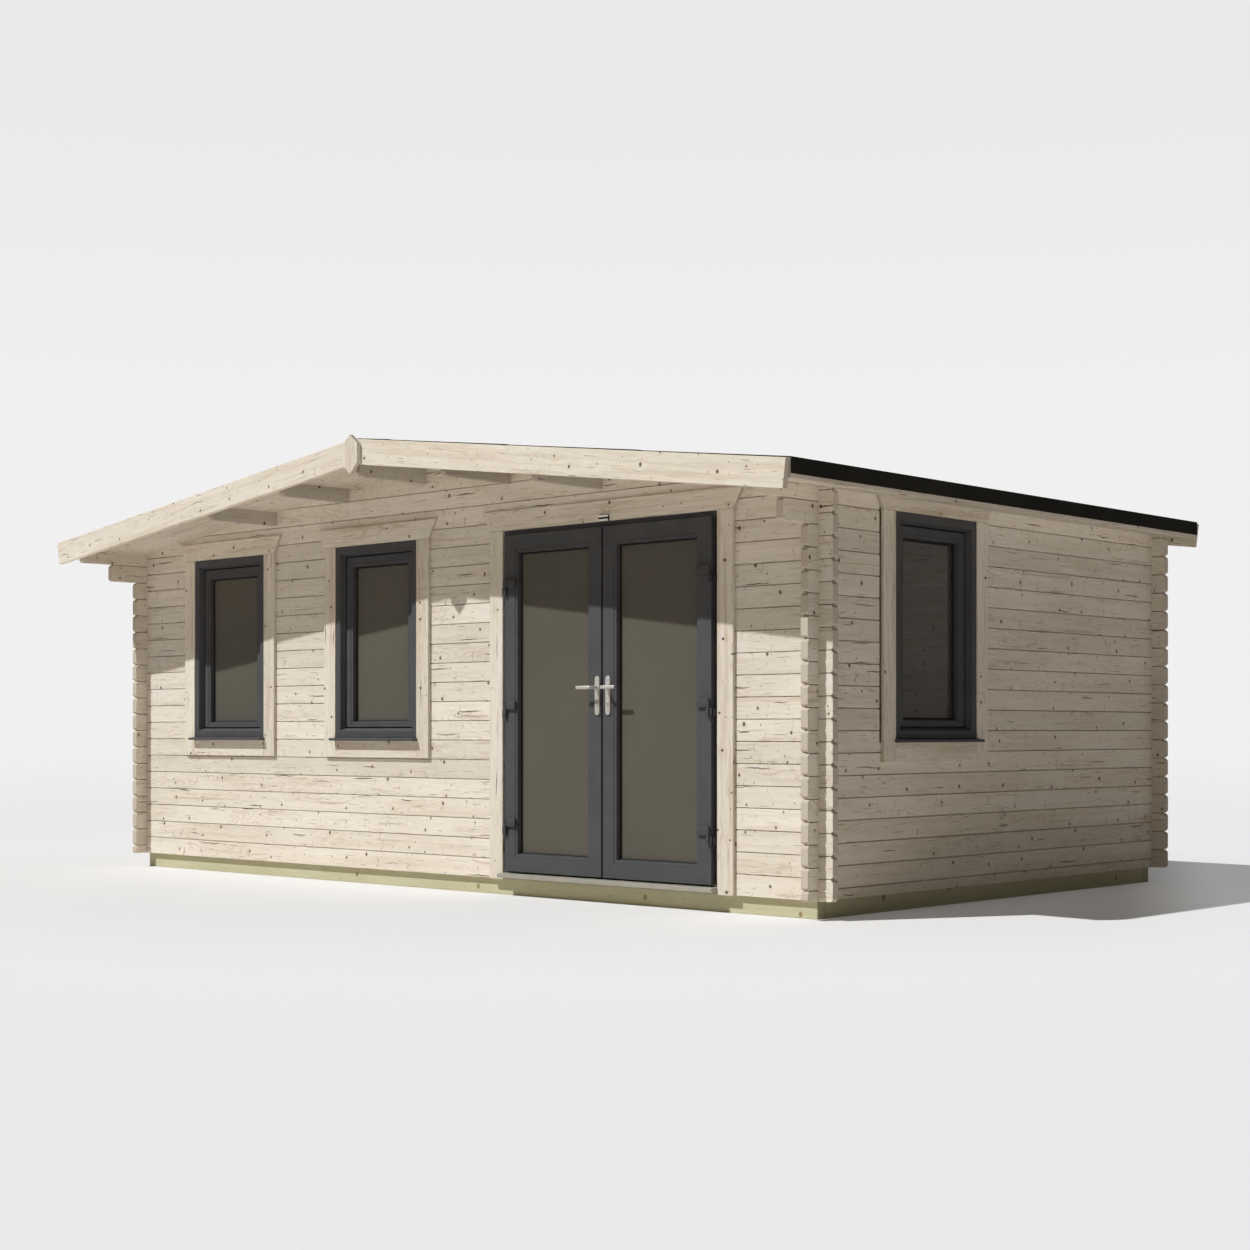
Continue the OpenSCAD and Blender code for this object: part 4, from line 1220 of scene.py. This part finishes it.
class Glazing:
    """Gathers the profiles, seals, spacers and panes of glazed parts that ride on one body."""

    def __init__(self, joinery):
        self.joinery = joinery
        self.profiles, self.seals, self.panes, self.spacers = Shell(), Shell(), Shell(), Shell()

    def bars(self, shell, profile, opening, radius=0.0, sides="BTLR", slimmer=0.0):
        """Adds mitred bars to a shell. opening is a half width, a low and a high edge, and a local frame.
        The bottom bar's inner side lies lower by slimmer."""
        *edges, place = opening
        foot = [(inward - slimmer if inward > slimmer else inward, depth) for inward, depth in profile]
        if radius:
            profile, foot = rounded(profile, radius), rounded(foot, radius)
        for bar in mitred(profile, foot, *edges, self.joinery.mitre_gap, sides):
            shell.add(bar, place)

    def glazed(self, opening, face, front, back, groove=0.0, slimmer=0.0, panes=None):
        """A sash or leaf: flat face, sloping bead, rubber seals, and two panes with a spacer between them.
        A groove runs round the outer edge of a sash, and its bottom bar is slimmer."""
        j = self.joinery
        leg, slit, bevel, tuck, thin = 0.006, 0.0003, 0.004, 0.010, 0.002
        edge = face + j.bead
        lip = edge - j.seal
        glass = front + j.glass_depth
        behind = glass + j.unit
        step, deep = front + j.bead_step, behind + leg

        def add(shell, profile, radius=0.0):
            self.bars(shell, profile, opening, radius, slimmer=slimmer)

        floor = front + j.groove_depth
        outer = [(0, floor), (groove, floor), (groove, front)] if groove else [(0, front)]
        add(self.profiles, [*outer, (face, front), (face, deep), (leg, deep), (leg, back), (0, back)], j.edge)
        root = face + 2 * slit
        add(self.profiles, [(root, step), (lip - bevel, step), (lip, glass - 2 * bevel),
                            (lip, glass - TOUCH), (root, glass - TOUCH)], 4 * slit)
        root = leg + FIT
        add(self.profiles, [(root, behind + TOUCH), (edge, behind + TOUCH), (edge, deep), (face, back),
                            (root, back)], 5 * slit)
        for depth, thick in ((glass - leg, leg - FIT), (behind + slit, thin / 2)):
            add(self.seals, [(lip + TOUCH, depth), (edge - bevel, depth), (edge, depth + thick),
                             (lip + TOUCH, depth + thick)])
        if groove:
            add(self.seals, slab(FIT, groove - FIT, floor - thin - TOUCH, floor - TOUCH))
        inset = edge - tuck
        half, low, high, place = opening
        panes = panes or self.panes
        for depth in (glass, behind - j.pane):
            panes.block((inset - half, depth, low + inset - slimmer),
                        (half - inset, depth + j.pane, high - inset), FIT, place, segments=1)
        add(self.spacers, slab(inset, inset + j.spacer, glass + j.pane, behind - j.pane))

    def finish(self, name, profiles_name, body, frame_node, glass_node):
        self.profiles.finish(profiles_name, "Grey profile", body, frame_node)
        self.seals.finish(name + "_seals", "Seal", body)
        self.spacers.finish(name + "_spacers", "Seal", body, slot="glazing")
        self.panes.finish(name + "_panes", "Tinted glass", body, glass_node)


class CABIN_OT_windows(bpy.types.Operator):
    """Make the windows: frames, sashes, glass and sills"""

    bl_idname = "cabin.windows"
    bl_label = "Windows"

    def execute(self, context):
        j = context.scene.cabin_joinery
        fixed, sashes, side_panes, sills = Glazing(j), Glazing(j), Shell(), Shell()
        places = window_places()
        hidden, face, inner = j.frame_hidden, j.frame_face, j.frame_face - j.sash_lap
        proud, soft = 0.006, 0.001
        nodes = ("window_frames", "window_sashes", "window_sills")
        for place, *boxes in zip(places, *(solids(node) for node in nodes)):
            casing, sash, sill = (in_place(box, place) for box in boxes)
            half, high = casing[1].x - hidden, casing[1].z - hidden
            front, back = casing[0].y, casing[1].y
            rest, lip = sash[0].y + j.groove_depth - soft, sash[0].y - proud
            profile = [(0, front), (j.frame_flat, front), (face - 2 * soft, lip - soft), (face, lip),
                       (face, rest), (inner, rest), (inner, back), (-hidden, back), (-hidden, FIT), (0, FIT)]
            fixed.bars(fixed.profiles, profile, (half, 0.0, high, place), j.edge)
            edge, covered = inner + FIT, j.sash_lap - FIT
            opening = (half - edge, edge, high - edge, place)
            panes = side_panes if place is places[-1] else None
            sashes.glazed(opening, j.sash_face + covered, sash[0].y, sash[1].y, covered + j.groove, j.slimmer,
                          panes)
            self.sill(sills, place, sill, half, front, j.sill_fall)
        fixed.profiles.finish("window_casings", "Grey profile", CABIN, "window_frames")
        sashes.finish("window", "window_sash_profiles", CABIN, "window_sashes", "window_glass")
        side_panes.finish("side_window_panes", "Clear glass", CABIN)
        sills.finish("sills", "Grey profile", CABIN, "window_sills")
        return {"FINISHED"}

    def sill(self, sills, place, box, half, front, fall):
        """A sill that slopes forward: wide in front of the boards, and as wide as the window behind them."""
        low, high = box
        board = TRIM_FACE - FIT
        tilt = fall / (front - low.y)
        for reach, near, far, radius in ((high.x, low.y, board, NOSE_EDGE),
                                         (half - FIT, board + TOUCH, front - TOUCH, 0.0)):
            nose = [(near, low.z), (near, high.z - (front - near) * tilt),
                    (far, high.z - (front - far) * tilt), (far, low.z)]
            part = extrude(rounded(nose, radius) if radius else nose, 2 * reach)
            sills.add(part, place @ facing(-reach * X, Y, Z))


class CABIN_OT_doors(bpy.types.Operator):
    """Make the door frame, the threshold and the two glazed leaves"""

    bl_idname = "cabin.doors"
    bl_label = "Doors"

    def execute(self, context):
        j = context.scene.cabin_joinery
        low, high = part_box("door_frame")
        leaves = {name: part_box(name + "_leaf") for name, _ in SIDES}
        middle = (low.x + high.x) / 2
        half = (high.x - low.x) / 2
        jamb = half - (leaves["right"][1].x - middle) - j.leaf_gap
        stop, depth = leaves["left"][1].y - low.y + j.leaf_gap, high.y - low.y
        opening = (half, low.z, high.z, Matrix.Translation((middle, low.y, 0)))
        fixed = Glazing(j)
        profile = [(0, 0), (jamb, 0), (jamb, stop), (jamb + j.door_stop, stop), (jamb + j.door_stop, depth),
                   (0, depth)]
        fixed.bars(fixed.profiles, profile, opening, j.edge, "TLR")
        # partly a real seal and partly painted shade: a black strip on the stop darkens the gap round the
        # leaves
        seal_wide, seal_thick = 0.010, 0.004
        seal = slab(jamb, jamb + seal_wide, stop - seal_thick, stop - 2 * TOUCH)
        fixed.bars(fixed.seals, seal, opening, SMALL_EDGE, "TLR")
        fixed.profiles.finish("door_casing", "Grey profile", CABIN, "door_frame")
        fixed.seals.finish("door_seals", "Seal", CABIN)
        self.threshold(middle, low.y, doorway_half(context.scene.cabin_timber), j.nosing)

        for name, (low, high) in leaves.items():
            leaf = Glazing(j)
            centre = Matrix.Translation(((low.x + high.x) / 2, 0, 0))
            leaf.glazed(((high.x - low.x) / 2, low.z, high.z, centre), j.leaf_face, low.y, high.y)
            node = name + "_leaf"
            leaf.finish(node, node + "_profiles", name + "_door", node, node + "_glass")
        return {"FINISHED"}

    def threshold(self, middle, wall_y, half, nosing):
        """A block under the leaves, with a nosing between the upright boards."""
        low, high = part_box("threshold")
        under = high.z - nosing
        drop, flat = 0.006, 0.010
        nose = [(low.y, under), (low.y, high.z - drop), (wall_y - flat, high.z), (wall_y, high.z),
                (wall_y, under)]
        part = extrude(rounded(nose, NOSE_EDGE), 2 * half)
        part.transform(facing((middle - half) * X, Y, Z))
        sill = Shell(part)
        sill.block((low.x, wall_y, low.z), high, SMALL_EDGE)
        sill.finish("door_sill", "Threshold", CABIN, "threshold")


# ---- hinges and handles ----


def lever_bar(box, side):
    """A lever: a round neck that bends into a flat bar with a soft end. side is where the bar points."""
    low, high = box
    height, z = (high.z - low.z) / 2, (low.z + high.z) / 2
    thick, neck, straight, bend, turns = 0.006, 0.0085, 0.020, 0.013, 6
    neck_x = low.x + height if side > 0 else high.x - height
    tip_x = high.x if side > 0 else low.x
    bar_y = low.y + thick
    # stations of (centre, side direction, half width, half height)
    stations = [(Vector((neck_x, y, z)), X * side, neck, neck) for y in (high.y, bar_y + straight)]
    for k in range(turns + 1):
        share = k / turns
        c, s = math.cos(math.pi / 2 * share), math.sin(math.pi / 2 * share)
        centre = Vector((neck_x + side * bend * (1 - c), bar_y + bend * (1 - s), z))
        stations.append((centre, Vector((side * c, s, 0)), neck + (thick - neck) * share,
                         neck + (height - neck) * share))
    start = neck_x + side * bend
    for x, fade in ((0.4, 1), (0.75, 0.97), (0.93, 0.92), (0.98, 0.75), (0.995, 0.5), (1.0, 0.15)):
        stations.append((Vector((start + (tip_x - start) * x, bar_y, z)), Y, thick * fade, height * fade))

    # a soft rectangle rather than an ellipse
    power, ring = 3.2, []
    for c, s in arc(0, 0, 1, 0, 360, 20):
        reach = (abs(c) ** power + abs(s) ** power) ** (-1 / power)
        ring.append((reach * c, reach * s))
    return loft([[centre + across * (wide * u) + Z * (tall * v) for u, v in ring]
                 for centre, across, wide, tall in stations])


def arc(x, y, radius, start, turn, steps):
    """Points on a circle from one angle on, in degrees."""
    angles = [math.radians(start + turn * k / steps) for k in range(steps)]
    return [(x + radius * math.cos(a), y + radius * math.sin(a)) for a in angles]


def knuckle(pin, low, high, radius, bore):
    """A hinge knuckle: a round barrel with a blind bore for the pin from below."""
    edge, crown, bored, sides = SMALL_EDGE, 1.5 * SMALL_EDGE, 0.55, 32
    profile = [(bore, low + (high - low) * bored), (bore, low), (radius - edge, low), (radius, low + edge),
               (radius, high - crown), (radius - crown, high)]
    return loft([[(x, y, z) for x, y in arc(pin.x, pin.y, r, 0, 360, sides)] for r, z in profile])


class CABIN_OT_hardware(bpy.types.Operator):
    """Fit the hinges, handle plates, levers and keep"""

    bl_idname = "cabin.hardware"
    bl_label = "Hinges and Handles"

    def execute(self, context):
        self.hinges({joint["name"]: Vector(joint["pos_m"]) for joint in frame["joints"]})
        for name, side in SIDES:
            self.plate(name)
            levers = Shell(lever_bar(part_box(name + "_lever"), side))
            levers.finish(name + "_lever_bar", "Satin metal", name + "_handle", name + "_lever", smooth=40)
        self.keep()
        return {"FINISHED"}

    def keep(self):
        """Two white bars with painted shade between them: a black block behind them stands for the depth of
        the slot.
        """
        low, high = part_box("door_keep")
        deep, share, edge = 0.004, 2.9, 0.0015
        face, bar = low.y + deep, (high.z - low.z) / share
        slot = Shell()
        slot.block((low.x, face, low.z), high, edge)
        slot.finish("keep_slot", "Seal", CABIN, slot="satin_metal")
        keep = Shell()
        for bottom in (low.z, high.z - bar):
            keep.block((low.x, low.y, bottom), (high.x, low.y + 1.25 * deep, bottom + bar), edge)
        keep.finish("keep", "White metal", CABIN, "door_keep")

    def hinges(self, pins):
        """Three hinges a leaf: a cover and knuckle on the leaf, over a knuckle that reaches to the frame."""
        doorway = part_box("door_frame")
        middle = (doorway[0].x + doorway[1].x) / 2
        thick, gap, cover, inset, play = 0.007, 0.001, 0.014, 0.012, 0.002
        bore, pin_radius, cover_edge = 0.0053, 0.005, 0.0025
        screw, screw_edge, screw_out, screw_sides = 0.0042, 0.0006, 0.0008, 20
        fixed = Shell()
        for name, side in SIDES:
            pin = pins[name + "_door_swing"]
            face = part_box(name + "_leaf")[0].y
            leaf = Shell()
            covers = solids(name + "_leaf_hinges")
            for low, high in covers:
                leaf.add(knuckle(pin, low.z, high.z, pin.y - low.y, bore))
                inner = low.x if side > 0 else high.x
                near, far = sorted((inner, pin.x))
                leaf.block((near, face - cover, low.z), (far, face - TOUCH, high.z), cover_edge)
                x = inner + side * inset
                back, front = face - cover + play, face - cover - screw_out
                for z in (low.z + inset, high.z - inset):
                    leaf.barrel((x, back, z), (x, front, z), screw, screw_edge, screw_sides)
            leaf.finish(name + "_hinge_flags", "Dark metal", name + "_door", name + "_leaf_hinges", smooth=35)
            for low, high in solids("frame_hinges"):
                if (low.x + high.x - 2 * middle) * side < 0:
                    continue
                top = min(box[0].z for box in covers if box[0].z > low.z) - play
                fixed.barrel((pin.x, pin.y, low.z), (pin.x, pin.y, top), pin.y - low.y)
                fixed.barrel((pin.x, pin.y, low.z + thick), (pin.x, pin.y, high.z), pin_radius, sides=24)
                outer = high.x if side > 0 else low.x
                for inner, back in ((pin.x, face - gap), (outer - side * thick, high.y - 1.5 * TOUCH)):
                    near, far = sorted((inner, outer))
                    fixed.block((near, face - gap - thick, low.z), (far, back, top), SMALL_EDGE)
        fixed.finish("hinge_brackets", "Dark metal", CABIN, "frame_hinges", smooth=35)

    def plate(self, name):
        """A long plate with round ends, two screws and a lock cylinder, whose keyhole is painted shade."""
        low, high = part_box(name + "_handle_plate")
        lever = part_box(name + "_lever")
        x, radius = (low.x + high.x) / 2, (high.x - low.x) / 2
        lever_z = (lever[0].z + lever[1].z) / 2
        steps, edge = 16, 0.002
        turn = 180 * (steps + 1) / steps
        outline = [point for centre, start in ((high.z - radius, 0), (low.z + radius, 180))
                   for point in arc(x, centre, radius, start, turn, steps + 1)]
        part = upright(outline, low.y, high.y)
        round_edges(part, edge, segments=3, sharpest=50)
        plate = Shell(part)

        def disc(z, radius, back, front, **rim):
            plate.barrel((x, low.y + back, z), (x, low.y - front, z), radius, **rim)

        inset, screw, screw_out, screw_edge = 0.020, 0.0042, 0.0012, 0.0008
        for z in (high.z - inset, low.z + inset):
            disc(z, screw, SMALL_EDGE, screw_out, edge=screw_edge, sides=20)
        rosette, rosette_out, cylinder, cylinder_out = 0.0125, 0.003, 0.0085, 0.004
        half_wide, tall, slot_half, slot_tall = 0.005, 0.022, 0.001, 0.005
        lock, front = lever_z - 0.085, low.y - cylinder_out
        disc(lever_z, rosette, edge, rosette_out)
        disc(lock, cylinder, edge, cylinder_out)
        plate.block((x - half_wide, front, lock - tall), (x + half_wide, low.y + edge, lock), SMALL_EDGE)
        plate.finish(name + "_plate", "Satin metal", name + "_door", name + "_handle_plate", smooth=35)
        # painted shade: a flat black mark on the lock cylinder stands for its keyhole
        slot = Shell()
        slot.block((x - slot_half, front - TOUCH, lock - slot_tall),
                   (x + slot_half, front + SMALL_EDGE, lock + slot_tall), 0.0)
        slot.finish(name + "_key_slot", "Seal", name + "_door", slot="dark_metal")


# ---- studio ----


def studio_colour(p, seen, bounced, mirrored):
    """One colour for the camera, one for gloss, and one for the light that surfaces pass on."""
    path = p.node("ShaderNodeLightPath").outputs
    direct = p.maths("MAXIMUM", path["Is Camera Ray"], path["Is Transmission Ray"])
    return p.mix(direct, p.mix(path["Is Glossy Ray"], bounced, (mirrored,) * 3), seen)


def empty_pattern(owner):
    """The cleared node tree of a material or a world."""
    owner.use_nodes = True
    owner.node_tree.nodes.clear()
    return Pattern(owner.node_tree)


class CABIN_OT_studio(bpy.types.Operator):
    """Set up the floor, the lights and the camera"""

    bl_idname = "cabin.studio"
    bl_label = "Studio"

    def execute(self, context):
        scene = context.scene
        studio = scene.cabin_studio
        self.floor(studio)
        self.light(scene, studio)
        camera = bpy.data.cameras.new("Camera")
        camera.lens, camera.sensor_width, camera.shift_y = studio.lens, 36.0, studio.rise
        camera.clip_end = 500.0
        viewer = bpy.data.objects.new("Camera", camera)
        viewer.location = studio.camera_place
        viewer.rotation_euler = (math.radians(90), 0, studio.camera_turn)
        scene.collection.objects.link(viewer)
        scene.camera = viewer
        scene.view_settings.view_transform = "Standard"
        return {"FINISHED"}

    def floor(self, studio):
        """A wide floor that fades into the backdrop. Its colour paints shade beside the building, and its
        glow paints light into the building's shadow.
        """
        half, thick = 120.0, 0.02
        near_fade, far_fade, glow_fade, corner_fade = (2.4, 6.0), (12.0, 70.0), (7.0, 22.0), (3.15, 3.85)
        to_corner = (0.878, 0.479, 0.0)
        floor = loose_object("floor_of_studio", block((-half, -half, -thick - FIT), (half, half, -FIT)))
        made = bpy.data.materials.new("Studio floor")
        p = empty_pattern(made)
        spot = p.spot()
        far = p.size(spot)
        # painted shade: the camera sees a darker floor near the building
        seen = p.mix(p.step(far, *near_fade), studio.near_floor_painted_shade, studio.floor)
        shade = p.add("ShaderNodeBsdfDiffuse", studio_colour(p, seen, studio.bounce, studio.floor_gloss))
        distant = p.mix(p.step(far, *far_fade), studio.far_floor, studio.backdrop)
        glow = p.add("ShaderNodeEmission",
                     studio_colour(p, distant, shaded(studio.bounce, 0.5), studio.mirrored))
        # painted light: the floor's glow lightens its shadow, a little beside the building and more behind
        # the back right corner
        lift = p.step(p.dot(spot, to_corner), *corner_fade, studio.near_painted_light, studio.lift)
        share = p.maths("MAXIMUM", p.step(far, *glow_fade), lift)
        p.node("ShaderNodeOutputMaterial", p.add("ShaderNodeMixShader", share, shade, glow))
        floor.data.materials.append(made)

    def light(self, scene, studio):
        """A faint even sky and one sun."""
        scene.world = bpy.data.worlds.new("Studio")
        p = empty_pattern(scene.world)
        height = p.parts(p.vector("NORMALIZE", p.spot()))[2]
        horizon, top = 0.10, 0.36
        shown = p.mix(p.step(height, horizon, top), studio.backdrop, studio.backdrop_top)
        shown = studio_colour(p, shown, shaded(studio.sky_colour, studio.sky), studio.mirrored)
        p.node("ShaderNodeOutputWorld", p.add("ShaderNodeBackground", shown, 1.0))
        lamp = bpy.data.lights.new("Sun", "SUN")
        lamp.energy, lamp.angle = studio.sun, studio.sun_angle
        sun = bpy.data.objects.new("Sun", lamp)
        sun.location = (-5, -8, 12)
        sun.rotation_euler = Vector(studio.sun_path).to_track_quat("-Z", "Y").to_euler()
        scene.collection.objects.link(sun)


# ---- panel and start ----


class CABIN_PT_panel(bpy.types.Panel):
    """Build the cabin piece by piece"""

    bl_label = "Log Cabin"
    bl_space_type = "VIEW_3D"
    bl_region_type = "UI"
    bl_category = "Log Cabin"

    def draw(self, context):
        for operator in OPERATORS:
            self.layout.operator(operator.bl_idname)
        for name in GROUPS:
            group = getattr(context.scene, name)
            box = self.layout.box()
            for key in group.bl_rna.properties.keys():
                if key not in ("rna_type", "name"):
                    box.prop(group, key)


GROUPS = {"cabin_timber": CabinTimber, "cabin_joinery": CabinJoinery, "cabin_studio": CabinStudio}
OPERATORS = (CABIN_OT_studio, CABIN_OT_logs, CABIN_OT_base, CABIN_OT_roof, CABIN_OT_trims, CABIN_OT_windows,
             CABIN_OT_doors, CABIN_OT_hardware)


def register():
    """Adds the settings, operators and panel."""
    for cls in (*GROUPS.values(), *OPERATORS, CABIN_PT_panel):
        bpy.utils.register_class(cls)
    for name, cls in GROUPS.items():
        setattr(bpy.types.Scene, name, PointerProperty(type=cls))


def unregister():
    """Takes them away again."""
    for name in GROUPS:
        delattr(bpy.types.Scene, name)
    for cls in (CABIN_PT_panel, *OPERATORS, *GROUPS.values()):
        bpy.utils.unregister_class(cls)


def main():
    """Builds the cabin and its studio."""
    register()
    for operator in OPERATORS:
        group, action = operator.bl_idname.split(".")
        getattr(getattr(bpy.ops, group), action)()


if __name__ == "__main__":
    main()
